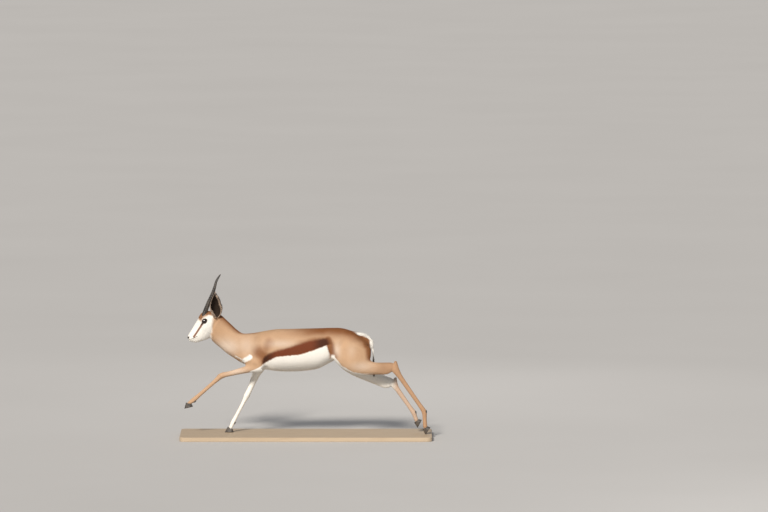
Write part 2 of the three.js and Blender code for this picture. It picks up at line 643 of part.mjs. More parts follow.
const springbok = new THREE.Group();
const { whole, nodes } = animal();
for (const { name, solid, finish } of [...namedPieces(whole), ...nodes]) {
  springbok.add(meshOf(name, largest(solid), finish));
}
const base = new THREE.Mesh(baseGeometry(), FINISH.base);
base.name = "stand_base";
springbok.add(base);

export default springbok;
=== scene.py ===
# %% [markdown]
# # A springbok in full stride
#
# This notebook dresses a life-size still model of a springbok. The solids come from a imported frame,
# in metres, with +Z up. The animal faces -X and its left side is -Y. They carry the proportions,
# and the cells below add what makes it look alive: one smooth skin, a short coat that lies along
# the body, wet eyes, ringed horns, split hooves and the hair of the tail.

# %% Load the frame
import json
import math

import bpy
import numpy as np
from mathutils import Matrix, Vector

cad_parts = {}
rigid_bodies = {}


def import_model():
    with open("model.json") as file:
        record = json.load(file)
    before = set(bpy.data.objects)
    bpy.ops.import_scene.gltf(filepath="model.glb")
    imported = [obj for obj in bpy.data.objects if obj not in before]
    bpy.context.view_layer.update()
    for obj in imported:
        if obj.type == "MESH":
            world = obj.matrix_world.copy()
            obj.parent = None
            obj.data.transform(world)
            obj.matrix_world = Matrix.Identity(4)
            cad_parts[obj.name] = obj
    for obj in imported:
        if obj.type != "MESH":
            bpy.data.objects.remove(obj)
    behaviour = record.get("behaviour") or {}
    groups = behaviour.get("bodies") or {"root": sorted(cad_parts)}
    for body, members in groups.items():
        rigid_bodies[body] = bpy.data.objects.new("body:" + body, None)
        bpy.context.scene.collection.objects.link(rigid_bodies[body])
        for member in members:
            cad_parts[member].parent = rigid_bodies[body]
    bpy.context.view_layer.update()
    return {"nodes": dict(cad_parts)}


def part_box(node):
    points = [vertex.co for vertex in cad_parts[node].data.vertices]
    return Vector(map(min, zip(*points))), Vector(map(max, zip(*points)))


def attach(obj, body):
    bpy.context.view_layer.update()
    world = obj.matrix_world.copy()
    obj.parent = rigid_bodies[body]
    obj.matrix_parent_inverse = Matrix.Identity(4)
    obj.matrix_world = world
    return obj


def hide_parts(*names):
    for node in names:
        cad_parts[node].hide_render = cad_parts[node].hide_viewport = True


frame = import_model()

BASE_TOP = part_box("stand_base")[1].z
MM = 0.001
SIDES = {"left": -1, "right": 1}
rng = np.random.default_rng(7)
print("solids:", len(frame["nodes"]), "nodes, base top at", round(BASE_TOP, 4), "m")

# %% [markdown]
# ## The plan of the body
#
# A sculptor would begin with a side view and a few widths. The tables hold exactly that, in
# millimetres above the top of the base. Each row is one section, and every surface below is a
# smooth run through these rows. A few rows are easier to correct than a dense mesh.

# %% Sections of the trunk, neck and head
# x, height of the back, height of the belly, half width
TRUNK = [
    [-400, 592, 440, 44], [-360, 604, 410, 66], [-312, 608, 394, 82], [-252, 619, 385, 92],
    [-180, 630, 375, 98], [-96, 632, 372, 103], [-12, 634, 376, 105], [72, 636, 389, 101],
    [144, 638, 424, 95], [216, 636, 462, 90], [282, 616, 494, 82], [336, 586, 502, 66],
    [372, 553, 508, 42], [386, 535, 514, 22],
]
# upper edge x and height, lower edge x and height, half width
NECK = [
    [-530, 722, -578, 590, 40], [-506, 712, -567, 563, 43], [-480, 689, -546, 540, 45],
    [-450, 661, -516, 514, 48], [-414, 627, -477, 481, 54], [-381, 606, -432, 451, 62],
    [-342, 603, -378, 418, 72], [-300, 600, -324, 404, 80],
]
# the same, and how much wider the brow side is than the jaw side
HEAD = [
    [-714, 579, -709, 569, 8, 0], [-709, 592, -699, 556, 17, 0.05],
    [-699, 609, -681, 549, 21, 0.05], [-685, 631, -661, 547, 23, -0.05],
    [-670, 656, -638, 552, 26, -0.02], [-655, 681, -614, 560, 33, 0.1],
    [-643, 705, -590, 568, 41, 0.16], [-627, 726, -570, 580, 46, 0.16],
    [-602, 737, -549, 602, 46, 0.1], [-572, 737, -530, 627, 42, 0.05], [-543, 722, -514, 646, 34, 0],
]
print("rows of the trunk, neck and head:", len(TRUNK), len(NECK), len(HEAD))

# %% Joints and sections of the legs
# joints in the side view, distance of each from the middle plane, direction of the toe
FORELEGS = {
    "left": ([[-286, 408], [-507, 354], [-675, 208], [-704, 186]], [62, 57, 52, 50], -166),
    "right": ([[-280, 396], [-354, 226], [-442, 62], [-457, 25.2]], [62, 57, 50, 48], 180),
}
HINDLEGS = {
    "left": ([[531, 394], [708, 136], [715, 39]], [62, 58, 58], -125),
    "right": ([[524, 292], [646, 116], [664, 68]], [62, 57, 56], -118),
}
# bone, place along it, reach to the front, reach to the back, half width
FORELEG_SECTIONS = [
    [0, -0.1, 44, 40, 30], [0, 0.06, 36, 35, 29], [0, 0.25, 27, 25, 23], [0, 0.5, 21, 20, 18],
    [0, 0.78, 17, 17, 15.5], [0, 0.93, 19, 17, 17], [1, 0.05, 19, 17, 17], [1, 0.15, 15, 15, 14],
    [1, 0.32, 12, 13, 11], [1, 0.7, 11, 13, 10], [1, 0.9, 12, 15, 12], [2, 0.1, 13, 17, 13.5],
    [2, 0.55, 11, 13, 13], [2, 1.3, 13, 15, 15.5],
]
HIND_CANNON_SECTIONS = [
    [0, -0.128, -26, 31, 3], [0, -0.115, -22, 34, 7], [0, -0.09, -12, 37, 11],
    [0, -0.03, 14, 32, 15], [0, 0.03, 20, 26, 17], [0, 0.1, 18, 21, 15], [0, 0.2, 15, 17, 12],
    [0, 0.5, 13, 15, 10.5], [0, 0.8, 12, 15, 10.5], [0, 0.93, 13, 17, 12.5], [1, 0.06, 14, 18, 14],
    [1, 0.5, 12, 14, 13], [1, 1.15, 14, 16, 16],
]
# front x and height, back x and height, half width, distance from the middle
THIGHS = {
    "left": [
        [212, 590, 330, 572, 24, 38], [170, 540, 384, 528, 40, 62], [158, 466, 392, 480, 45, 69],
        [202, 410, 388, 452, 42, 72], [273, 368, 408, 439, 36, 71], [342, 357, 440, 436, 30, 69],
        [414, 360, 478, 435, 23, 68], [476, 360, 514, 433, 17, 64], [508, 372, 538, 422, 12, 62],
    ],
    "right": [
        [212, 590, 330, 572, 24, 38], [170, 540, 384, 528, 40, 62], [160, 462, 391, 476, 45, 69],
        [214, 384, 384, 436, 42, 72], [288, 338, 400, 398, 36, 71], [362, 308, 432, 371, 30, 69],
        [422, 284, 472, 342, 23, 68], [470, 266, 510, 328, 17, 64], [502, 270, 530, 316, 12, 62],
    ],
}
# middle x, distance out, height, three radii, tilt in degrees
MUSCLES = {
    "blade": [-268, 57, 498, 100, 34, 54, 60], "shoulder_point": [-332, 49, 462, 60, 33, 54, 30],
    "upper_arm": [-288, 60, 432, 66, 32, 44, -18], "haunch": [250, 56, 540, 84, 36, 50, -12],
}
# x, height, radius of the tail
TAIL = [
    [346, 552, 15], [378, 559, 11], [394, 544, 9], [400, 512, 7.5], [404, 474, 6.5],
    [408, 440, 6], [411, 416, 4],
]
# the raised hair over the root of the tail: x, height of its crest, depth, half width
RUMP_CREST = [
    [262, 622, 30, 8], [300, 618, 52, 17], [336, 612, 78, 22], [366, 600, 84, 22], [390, 580, 72, 17],
    [404, 562, 50, 9],
]
print("rows of a thigh:", len(THIGHS["left"]), "muscles on each side:", len(MUSCLES))

# %% [markdown]
# ## Surfaces from sections
#
# Between two sections a Catmull-Rom curve gives a soft, even run that still passes through every
# measured row. A ring of points stands on each row, and rings joined side by side make a tube.
# All of it is done on whole arrays, so that a finer surface costs one number and no loop.

# %% Helpers for rows, rings and tubes
def smooth_rows(rows, steps):
    """Every column is a Catmull-Rom curve. Between rows b and c, with a before and d after, the
    value is half of 2b + (c - a)t + (2a - 5b + 4c - d)t^2 + (3b - a - 3c + d)t^3."""
    rows = np.asarray(rows, float)
    last = len(rows) - 1
    t = np.arange(last * steps + 1) / steps
    i = np.minimum(t.astype(int), last - 1)
    t = (t - i)[:, None]
    a, b, c, d = (rows[np.clip(i + k, 0, last)] for k in (-1, 0, 1, 2))
    return 0.5 * (2 * b + (c - a) * t + (2 * a - 5 * b + 4 * c - d) * t**2
                  + (3 * b - a - 3 * c + d) * t**3)


def edge_rings(rows, count):
    """Rings between two edges seen from the side. At angle v a point lies at the middle of the
    row, plus cos v times half the way to the upper edge, plus sin v times the half width across,
    which grows towards the upper edge by the share "egg"."""
    x1, z1, x2, z2, half, egg = (column[:, None] for column in rows.T)
    v = np.linspace(0, 2 * np.pi, count, endpoint=False)[None, :]
    x = (x1 + x2) / 2 + np.cos(v) * (x1 - x2) / 2
    z = (z1 + z2) / 2 + np.cos(v) * (z1 - z2) / 2
    y = np.sin(v) * half * (1 + egg * np.cos(v))
    return np.stack([x, y, z], axis=2)


def tube_faces(rings, count):
    """Four-sided faces between neighbouring rings, and a fan to a middle point at each end. The
    two middle points come after all ring points."""
    i, j = np.meshgrid(np.arange(rings - 1), np.arange(count), indexing="ij")
    a, b = i * count + j, i * count + (j + 1) % count
    quads = np.stack([a, b, b + count, a + count], axis=2).reshape(-1, 4)
    j = np.arange(count)
    first = np.stack([np.full(count, rings * count), (j + 1) % count, j], axis=1)
    base = (rings - 1) * count
    last = np.stack([np.full(count, rings * count + 1), base + j, base + (j + 1) % count], axis=1)
    return quads, np.concatenate([first, last])


def tube(grid):
    """A closed tube from a grid of rings, with its faces turned outwards."""
    rings, count = grid.shape[:2]
    points = np.concatenate([grid.reshape(-1, 3), grid[:1].mean(axis=1), grid[-1:].mean(axis=1)])
    quads, ends = tube_faces(rings, count)
    a, b, c = points[quads[:, 0]], points[quads[:, 1]], points[quads[:, 2]]
    if np.einsum("ij,ij->", a, np.cross(b, c)) + np.einsum(
            "ij,ij->", a, np.cross(c, points[quads[:, 3]])) < 0:
        quads, ends = quads[:, ::-1], ends[:, ::-1]
    return points, quads, ends


def join(parts):
    """Several (points, quads, triangles) as one, with the face numbers moved along."""
    points, quads, triangles, start = [], [], [], 0
    for p, q, t in parts:
        points.append(p)
        quads.append(q + start)
        triangles.append(t + start)
        start += len(p)
    return np.concatenate(points), np.concatenate(quads), np.concatenate(triangles)


print("a test row at half way:", smooth_rows([[0], [1], [2]], 2).ravel())


# %% Meshes, places and directions
def make_mesh(name, points, quads, triangles, smooth=True):
    """A mesh object filled from arrays, in metres in the frame."""
    mesh = bpy.data.meshes.new(name)
    corners = np.concatenate([quads.ravel(), triangles.ravel()]).astype(np.int32)
    sizes = np.concatenate([np.full(len(quads), 4), np.full(len(triangles), 3)]).astype(np.int32)
    mesh.vertices.add(len(points))
    mesh.vertices.foreach_set("co", np.ascontiguousarray(points, np.float32).ravel())
    mesh.loops.add(len(corners))
    mesh.loops.foreach_set("vertex_index", corners)
    mesh.polygons.add(len(sizes))
    mesh.polygons.foreach_set("loop_start", np.concatenate([[0], np.cumsum(sizes)[:-1]]).astype(np.int32))
    mesh.polygons.foreach_set("loop_total", sizes)
    mesh.polygons.foreach_set("use_smooth", np.full(len(sizes), smooth))
    mesh.update(calc_edges=True)
    mesh.validate()
    made = bpy.data.objects.new(name, mesh)
    bpy.context.scene.collection.objects.link(made)
    return made


def to_frame(points):
    """Millimetres above the base top become metres in the frame."""
    return np.asarray(points, float) * MM + np.array([0, 0, BASE_TOP])


def to_plan(points):
    """Metres in the frame become millimetres above the base top."""
    return (points - [0, 0, BASE_TOP]) / MM


def unit(vector):
    """The vector at length one."""
    vector = np.asarray(vector, float)
    return vector / np.linalg.norm(vector, axis=-1, keepdims=True)


print("base top in the frame:", to_frame([0, 0, 0]).round(4).tolist())


# %% Limbs: sections set across the bones
JOINT_TURN = 0.3


def bone_angles(joints):
    """Direction of each bone in the side view, in radians."""
    steps = np.diff(np.asarray(joints, float), axis=0)
    return np.arctan2(steps[:, 1], steps[:, 0])


def limb_rows(joints, out, sections):
    """Each section stands across its bone, turned half way through every joint over the last
    third of the bone. It becomes front x and height, back x and height, half width, place out."""
    joints, out = np.asarray(joints, float), np.asarray(out, float)
    along, reach = bone_angles(joints), JOINT_TURN
    rows = []
    for bone, place, front, back, half in sections:
        angle = along[bone]
        if place < reach and bone > 0:
            angle += (along[bone - 1] - along[bone]) * 0.5 * (1 - place / reach)
        if place > 1 - reach and bone < len(along) - 1:
            angle += (along[bone + 1] - along[bone]) * 0.5 * (1 - (1 - place) / reach)
        nx, nz = math.sin(angle), -math.cos(angle)
        x, z = joints[bone] + (joints[bone + 1] - joints[bone]) * place
        y = out[bone] + (out[bone + 1] - out[bone]) * place
        rows.append([x + nx * front, z + nz * front, x - nx * back, z - nz * back, half, y])
    return rows


def sided_tube(rows, side, steps, count):
    """A tube from rows whose last column is the distance out from the middle plane."""
    rows = smooth_rows(rows, steps)
    flat = np.concatenate([rows[:, :5], np.zeros((len(rows), 1))], axis=1)
    grid = edge_rings(flat, count)
    grid[:, :, 1] += side * rows[:, 5:6]
    return tube(grid)


print("left foreleg rows:", len(limb_rows(*FORELEGS["left"][:2], FORELEG_SECTIONS)))


# %% Balls and round lines
def ball(middle, radii, tilt=0.0, count=20):
    """An ellipsoid: a point at latitude u and longitude v, scaled by three radii, turned by the
    tilt in the side view and moved to its middle."""
    u = np.linspace(0.04, math.pi - 0.04, count // 2)[:, None]
    v = np.linspace(0, 2 * math.pi, count, endpoint=False)[None, :]
    sphere = np.stack([np.sin(u) * np.cos(v), np.sin(u) * np.sin(v), np.cos(u) + 0 * v], axis=2)
    x, y, z = np.moveaxis(sphere * np.asarray(radii, float), 2, 0)
    c, s = math.cos(tilt), math.sin(tilt)
    return tube(np.stack([x * c + z * s, y, z * c - x * s], axis=2) + np.asarray(middle, float))


def line_tube(line, radii, count):
    """A round tube along a line: a circle of the given radius stands across it at each point."""
    line = np.asarray(line, float)
    along = unit(np.gradient(line, axis=0))
    a = unit(np.cross(along, [0, 1, 0]))
    b = np.cross(along, a)
    v = np.linspace(0, 2 * np.pi, count, endpoint=False)[None, :, None]
    radii = np.asarray(radii, float)
    if radii.ndim == 1:
        radii = radii[:, None]
    return tube(line[:, None] + radii[..., None] * (np.cos(v) * a[:, None] + np.sin(v) * b[:, None]))


print("a ball has", len(ball([0, 0, 0], [1, 1, 1])[0]), "points")

# %% [markdown]
# ## One skin
#
# A real hide has no seams. Overlapping tubes would show a hard crease where they cross, so they are
# melted into one surface: a voxel remesh keeps only the outside, and a few rounds of smoothing
# round the creases. Plain averaging would shrink thin legs, so each round moves the points in and
# then out again a little more, which keeps the volume.

# %% The rough form: every tube of the body together
NARROWER_ABOVE = {"trunk": -0.06, "crest": -0.3}


def body_parts():
    """Trunk, crest, neck, head, tail, muscles, thighs and legs as closed tubes, in millimetres."""
    trunk = [[x, top, x, bottom, half, NARROWER_ABOVE["trunk"]] for x, top, bottom, half in TRUNK]
    crest = [[x, top, x, top - deep, half, NARROWER_ABOVE["crest"]]
             for x, top, deep, half in RUMP_CREST]
    neck = [row + [0] for row in NECK]
    parts = [tube(edge_rings(smooth_rows(rows, 6), 48)) for rows in (trunk, crest, neck, HEAD)]
    tail = smooth_rows(TAIL, 6)
    line = np.stack([tail[:, 0], 0 * tail[:, 0], tail[:, 1]], axis=1)
    parts.append(line_tube(line, tail[:, 2], 16))
    for name, side in SIDES.items():
        for x, out, height, long, half, tall, tilt in MUSCLES.values():
            parts.append(ball([x, side * out, height], [long, half, tall], math.radians(tilt)))
        parts.append(sided_tube(THIGHS[name], side, 6, 32))
        for legs, sections in ((FORELEGS, FORELEG_SECTIONS), (HINDLEGS, HIND_CANNON_SECTIONS)):
            joints, out, _ = legs[name]
            parts.append(sided_tube(limb_rows(joints, out, sections), side, 6, 24))
    return parts


SKIN_VOXEL = 0.0048
rough = make_mesh("rough_form", *join([(to_frame(p), q, t) for p, q, t in body_parts()]))
remesh = rough.modifiers.new("melt", "REMESH")
remesh.mode = "VOXEL"
remesh.voxel_size = SKIN_VOXEL
melted = rough.evaluated_get(bpy.context.evaluated_depsgraph_get()).to_mesh()
points = np.zeros(len(melted.vertices) * 3, np.float32)
melted.vertices.foreach_get("co", points)
points = points.reshape(-1, 3).astype(float)
quads = np.zeros(len(melted.loops), np.int32)
melted.loops.foreach_get("vertex_index", quads)
quads = quads.reshape(-1, 4)
rough.to_mesh_clear()
bpy.data.objects.remove(rough)
print("melted form:", len(points), "points,", len(quads), "faces")


# %% Smoothing
LOSS_ROUNDS = 40


def edges_of(quads):
    """Each pair of neighbouring points once."""
    pairs = np.concatenate([quads[:, [k, (k + 1) % 4]] for k in range(4)])
    return np.unique(np.sort(pairs, axis=1), axis=0)


def pull(points, edges, share):
    """Every point moves by a share of the way to the average of its neighbours."""
    total = np.zeros_like(points)
    for column in range(points.shape[1]):
        total[:, column] = (np.bincount(edges[:, 0], points[edges[:, 1], column], len(points))
                            + np.bincount(edges[:, 1], points[edges[:, 0], column], len(points)))
    count = np.bincount(edges.ravel(), minlength=len(points))[:, None]
    return points + share * (total / np.maximum(count, 1) - points)


def point_normals(points, quads, triangles):
    """The area-weighted average of the normals of the faces round each point."""
    normals = np.zeros_like(points)
    for faces in (quads, triangles):
        across = np.cross(points[faces[:, 2]] - points[faces[:, 0]],
                          points[faces[:, -1]] - points[faces[:, 1]])
        if faces.shape[1] == 3:
            across = np.cross(points[faces[:, 1]] - points[faces[:, 0]],
                              points[faces[:, 2]] - points[faces[:, 0]])
        for k in range(faces.shape[1]):
            for column in range(3):
                normals[:, column] += np.bincount(faces[:, k], across[:, column], len(points))
    return normals / np.maximum(np.linalg.norm(normals, axis=1, keepdims=True), 1e-12)


def smooth_skin(points, quads, amount, rounds):
    """Rounds of a pull inwards and a slightly larger push back, weighted point by point."""
    edges = edges_of(quads)
    for _ in range(rounds):
        points = pull(points, edges, 0.55 * amount)
        points = pull(points, edges, -0.57 * amount)
    return points


def soften(points, quads, amount, rounds):
    """Plain averaging, for creases between muscles that should be only hinted at. The form is
    then moved out again along its normals by what it lost on the way."""
    edges, before = edges_of(quads), points
    for _ in range(rounds):
        points = pull(points, edges, 0.5 * amount)
    normals = point_normals(points, quads, quads[:0, :3])
    lost = np.einsum("ij,ij->i", before - points, normals)[:, None]
    for _ in range(LOSS_ROUNDS):
        lost = pull(lost, edges, 0.5)
    return points + normals * lost


print("edges of the melted form:", len(edges_of(quads)))


# %% Finer faces where they are needed
def subdivide(points, quads, chosen):
    """Chosen four-sided faces become four each. A face beside them keeps its corners, and takes
    the new middle points of shared edges as extra corners by a fan round its own middle."""
    pairs = np.stack([quads, np.roll(quads, -1, axis=1)], axis=2)
    keys = np.sort(pairs, axis=2)
    code = keys[:, :, 0].astype(np.int64) * len(points) + keys[:, :, 1]
    split_codes = np.unique(code[chosen])
    ends = np.stack([split_codes // len(points), split_codes % len(points)], axis=1)
    middles = points[ends].mean(axis=1)
    place = np.searchsorted(split_codes, code)
    place = np.minimum(place, len(split_codes) - 1)
    is_split = split_codes[place] == code
    middle_of = len(points) + place
    centres_from = len(points) + len(middles)
    touched = is_split.any(axis=1)
    centres = points[quads[touched]].mean(axis=1)
    centre_of = np.cumsum(touched) - 1 + centres_from
    new_quads = [quads[~touched]]
    whole = touched & is_split.all(axis=1)
    for k in range(4):
        before = (k - 1) % 4
        corner = [quads[whole, k], middle_of[whole, k], centre_of[whole], middle_of[whole, before]]
        new_quads.append(np.stack(corner, axis=1))
    edge_faces = touched & ~whole
    triangles = []
    for k in range(4):
        a, b, c = quads[edge_faces, k], pairs[edge_faces, k, 1], centre_of[edge_faces]
        cut, m = is_split[edge_faces, k], middle_of[edge_faces, k]
        triangles.append(np.stack([a[~cut], b[~cut], c[~cut]], axis=1))
        triangles.append(np.stack([a[cut], m[cut], c[cut]], axis=1))
        triangles.append(np.stack([m[cut], b[cut], c[cut]], axis=1))
    return (np.concatenate([points, middles, centres]), np.concatenate(new_quads),
            np.concatenate(triangles))


two_faces = np.array([[0, 1, 2, 3], [1, 4, 5, 2]])
_, four, fan = subdivide(np.zeros((6, 3)), two_faces, np.array([True, False]))
print("of two faces one is cut:", len(four), "quads and", len(fan), "triangles")


# %% Smooth steps
def ramp(value, low, high):
    """0 below low, 1 above high, and the smooth step 3t^2 - 2t^3 between them."""
    t = np.clip((value - low) / (high - low), 0, 1)
    return t * t * (3 - 2 * t)


def fade(value, low, high):
    """The other way round: 1 below low and 0 above high."""
    return 1 - ramp(value, low, high)


print("ramp and fade at a quarter:", ramp(0.25, 0, 1), fade(0.25, 0, 1))

# %% Smooth the skin, and make the head finer
plan = to_plan(points)
x, y, z = plan.T
on_head = fade(x, -590, -520)
on_trunk = ramp(x, -420, -300) * fade(x, 330, 400) * ramp(z, 330, 430)
points = smooth_skin(points, quads, (0.35 + 0.6 * on_trunk + 0.2 * on_head)[:, None], 14)
on_crest = ramp(x, 285, 310) * ramp(z, 560, 590) * fade(np.abs(y), 18, 32)
soft = ramp(x, -410, -340) * fade(x, 366, 396) * ramp(z, 395, 450) * (1 - 0.9 * on_crest)
points = soften(points, quads, soft[:, None], 70)
# three forms meet at the top of the shoulder blade, so the skin is softened there once more
blade_top = np.exp(-((x + 300) ** 2 + (z - 572) ** 2) / 50**2) * ramp(np.abs(y), 20, 40)
points = soften(points, quads, blade_top[:, None], 160)
face_middle = points[quads].mean(axis=1)
chosen = (face_middle[:, 0] < -0.528) & (face_middle[:, 2] > BASE_TOP + 0.52)
points, quads, triangles = subdivide(points, quads, chosen)
x, y, z = to_plan(points[quads].mean(axis=1)).T
chosen = (x < -652) & (z < 640) & (z > 530)
chosen |= (np.hypot(x + 609, z - 680) < 30) & (np.abs(y) > 15)
points, quads, fan = subdivide(points, quads, chosen)
triangles = np.concatenate([triangles, fan])
print("skin:", len(points), "points,", 2 * len(quads) + len(triangles), "triangles")

# %% Muscles and hollows under the skin
# start x and height, end x and height, half width, and how high the form stands, in millimetres
RELIEF = [
    [-214, 570, -234, 466, 15, -2.6], [-314, 548, -340, 486, 17, 2.0], [-384, 566, -398, 486, 16, -1.8],
    [-330, 452, -300, 432, 16, 1.4], [334, 566, 350, 474, 13, -2.2], [200, 566, 182, 484, 18, 2.0],
    [262, 548, 300, 440, 24, 2.0], [112, 606, 156, 484, 14, -2.2], [-552, 612, -404, 484, 13, -1.8],
    [-596, 642, -582, 606, 20, 1.5], [-628, 640, -664, 590, 7, -0.9], [300, 600, 346, 560, 12, -1.6],
    [350, 440, 500, 400, 12, 1.3], [-100, 612, 180, 616, 14, 0.9],
]
RIBS = {"from": -190, "to": 70, "apart": 27, "high": 0.13}


def relief(points, normals):
    """How far each point moves out, in millimetres: every form falls off from its line in the side
    view like a bell, exp of minus the square of the distance over the half width. The ribs are a
    slow wave along the flank. Only skin that faces sideways takes part."""
    x, _, z = to_plan(points).T
    out = np.zeros(len(x))
    for x1, z1, x2, z2, half, high in RELIEF:
        dx, dz = x2 - x1, z2 - z1
        t = np.clip(((x - x1) * dx + (z - z1) * dz) / (dx * dx + dz * dz), 0, 1)
        far = np.hypot(x - x1 - t * dx, z - z1 - t * dz)
        out += high * np.exp(-((far / half) ** 2))
    on_ribs = ramp(x, RIBS["from"], RIBS["from"] + 40) * fade(x, RIBS["to"] - 60, RIBS["to"])
    on_ribs = on_ribs * ramp(z, 420, 450) * fade(z, 550, 600)
    out += RIBS["high"] * np.cos(2 * np.pi * (x + 0.35 * (z - 500)) / RIBS["apart"]) * on_ribs
    return out * np.abs(normals[:, 1]) ** 1.5


normals = point_normals(points, quads, triangles)
points = points + normals * (relief(points, normals) * MM)[:, None]
print("highest relief:", round(float(np.max(relief(points, normals))), 2), "mm")

# %% [markdown]
# ## Markings by formula
#
# A springbok is fawn above and white below, with a dark stripe between the two. The face is white
# with a thin brown stripe from the eye to the mouth. These borders are drawn as heights and
# distances in the side view, so the same formula can colour the skin and every tuft of the coat,
# and nothing is painted twice.
# Some of it is painted light: pale bells for highlights, and rufous that is partly painted shade.

# %% Where each colour lies
# x, lower edge and upper edge of the flank stripe, in millimetres above the base top
STRIPE = np.array([
    [-268, 424, 448], [-252, 434, 470], [-226, 449, 490], [-188, 470, 508], [-131, 477, 522],
    [-36, 487, 551], [20, 504, 568], [84, 528, 578], [121, 543, 581], [150, 549, 582],
], float)
# x and height of the border of the white below it
WHITE_BELOW = np.array([
    [-360, 300], [-345, 370], [-330, 384], [-290, 402], [-268, 416], [-252, 430], [-226, 447],
    [-188, 468], [-131, 475], [-36, 485], [20, 503], [84, 527], [119, 541], [134, 500], [148, 466],
    [164, 446], [190, 426], [240, 394], [276, 369], [330, 350], [400, 345], [520, 345],
], float)
FACE_STRIPE = [[-619, 670], [-627, 657], [-640, 636], [-657, 609], [-674, 584]]
EYE = {"x": -609, "out": 28, "height": 680, "radius": 17, "long": 15, "tall": 10.5, "tilt": 38}
EYE_STREAK = [[-617, 672], [-625, 661]]
MOUTH = [[-722, 562], [-700, 566], [-676, 573], [-652, 588]]
BRISKET = [[-372, 447], [-337, 469]]
BRISKET_TAIL = [[-428, 472], [-400, 459], [-372, 447]]
FLANK_FOLD = [[128, 570], [140, 540], [147, 510], [160, 474]]
# the rufous along the rump, shoulder and blade edges below is partly painted shade
RUMP_EDGE = [[190, 640], [262, 622], [312, 598], [350, 566], [378, 528], [388, 470]]
SHOULDER_EDGE = [[-284, 500], [-258, 478], [-244, 456]]
BLADE_EDGE = [[-222, 556], [-238, 528], [-262, 502]]
# painted highlights: bells of paler fawn where rounded forms would catch the light
# middle x and height, reach along x and height, strength
HIGHLIGHT_BELLS = [
    [272, 508, 28, 44, 0.11], [184, 512, 22, 46, 0.28], [330, 415, 66, 28, 0.24],
    [-478, 526, 80, 50, 0.36], [-362, 535, 60, 50, 0.22], [-150, 548, 90, 24, 0.26],
    [-410, 380, 70, 34, 0.26],
]
print("flank stripe:", len(STRIPE), "rows, pale places:", len(HIGHLIGHT_BELLS))


# %% Distances and waves in the side view
def to_segment(x, z, a, b):
    """Distance in the side view from a point to the stretch between two points, and how far
    along that stretch its foot lies."""
    ax, az = a
    dx, dz = b[0] - ax, b[1] - az
    t = np.clip(((x - ax) * dx + (z - az) * dz) / (dx * dx + dz * dz), 0, 1)
    return np.hypot(x - ax - t * dx, z - az - t * dz), t


def turned(x, z, place):
    """Side-view coordinates about the middle of an eye or a nostril, along and across its tilt."""
    c, s = math.cos(math.radians(place["tilt"])), math.sin(math.radians(place["tilt"]))
    x, z = x - place["x"], z - place["height"]
    return x * c + z * s, z * c - x * s


def in_almond(x, z):
    """Below 1 inside the opening of the lids: the square of the share of its half length, plus
    the share of its half height to the power 2 / 1.3, which pinches the corners."""
    along, across = turned(x, z, EYE)
    return (along / EYE["long"]) ** 2 + (np.abs(across) / EYE["tall"]) ** (2 / 1.3)


def to_line(x, z, line):
    """Distance in the side view from a bent line of points."""
    return np.min([to_segment(x, z, a[:2], b[:2])[0] for a, b in zip(line[:-1], line[1:])], axis=0)


def wobble(x, y, z, size):
    """A soft, even unrest from three crossed waves, between about -1 and 1."""
    a, b, c = x / size, y / size, z / size
    return (np.sin(2.1 * a + 1.3 * np.sin(1.7 * b) + c) + np.sin(1.9 * b - 1.1 * np.sin(2.3 * c) - a)
            + np.sin(2.3 * c + 1.2 * np.sin(1.9 * a) + b)) / 3


def soft_band(distance, half, edge):
    """1 on a line and up to half a width beside it, then falling to 0 over the edge."""
    return fade(distance, half, half + edge)


print("from the eye to the mouth:", round(float(to_line(EYE["x"], EYE["height"], MOUTH))), "mm")


# %% Inner and outer sides of the legs
def leg_line(name, which):
    """Middle line of the fore or hind leg of one side as rows of x, height and distance out."""
    joints, out, _ = (FORELEGS if which == "fore" else HINDLEGS)[name]
    line = [[x, z, far] for (x, z), far in zip(joints, out)]
    if which == "hind":
        line = [[(a + c) / 2, (b + d) / 2, far] for a, b, c, d, _, far in THIGHS[name]] + line
    return line


def inner_side(x, y, z, which):
    """1 on the half of a leg that faces the other one and 0 on its outer half: how far a point
    lies inwards from the middle line of its own leg, softened over a centimetre."""
    inner = np.zeros(len(x))
    for name, side in SIDES.items():
        nearest = np.full(len(x), np.inf)
        out = np.zeros(len(x))
        line = leg_line(name, which)
        for a, b in zip(line[:-1], line[1:]):
            far, t = to_segment(x, z, a[:2], b[:2])
            out = np.where(far < nearest, a[2] + (b[2] - a[2]) * t, out)
            nearest = np.minimum(nearest, far)
        inner = np.where(side * y > 0, ramp(out - side * y, -4, 8), inner)
    return inner


print("inner side of a forearm:", inner_side(*np.array([[-507.0], [-40], [354]]), "fore").tolist())


# %% White
def crest_edge(x, y, z):
    """1 on the upper edge of the crest over the tail, where long white hair stands up. It is as
    wide as the crest itself, so it begins on the back as a narrow line."""
    along, top, _, half = np.array(RUMP_CREST).T
    top, half = np.interp(x, along, top), np.interp(x, along, half)
    return ramp(x, 270, 310) * ramp(z - top, -27, -19) * fade(np.abs(y), half, half + 9)


def white_rump(x, y, z):
    """The edge of the crest, the tail, and the mirror behind it."""
    mirror = ramp(x, 374, 384) * fade(np.abs(y), 14, 24) * ramp(z, 420, 440)
    return np.maximum(crest_edge(x, y, z), mirror)


def painted_highlights(x, z):
    """Painted highlights: bells where the fawn is made paler, as where light falls on a rounded
    form: the haunch, the front of the thigh, the throat, the point of the shoulder, the ribs behind it
    and the forearm. Each is a bell with its own strength."""
    return np.max([high * np.exp(-((x - a) / wide) ** 2 - ((z - b) / tall) ** 2)
                   for a, b, wide, tall, high in HIGHLIGHT_BELLS], axis=0)


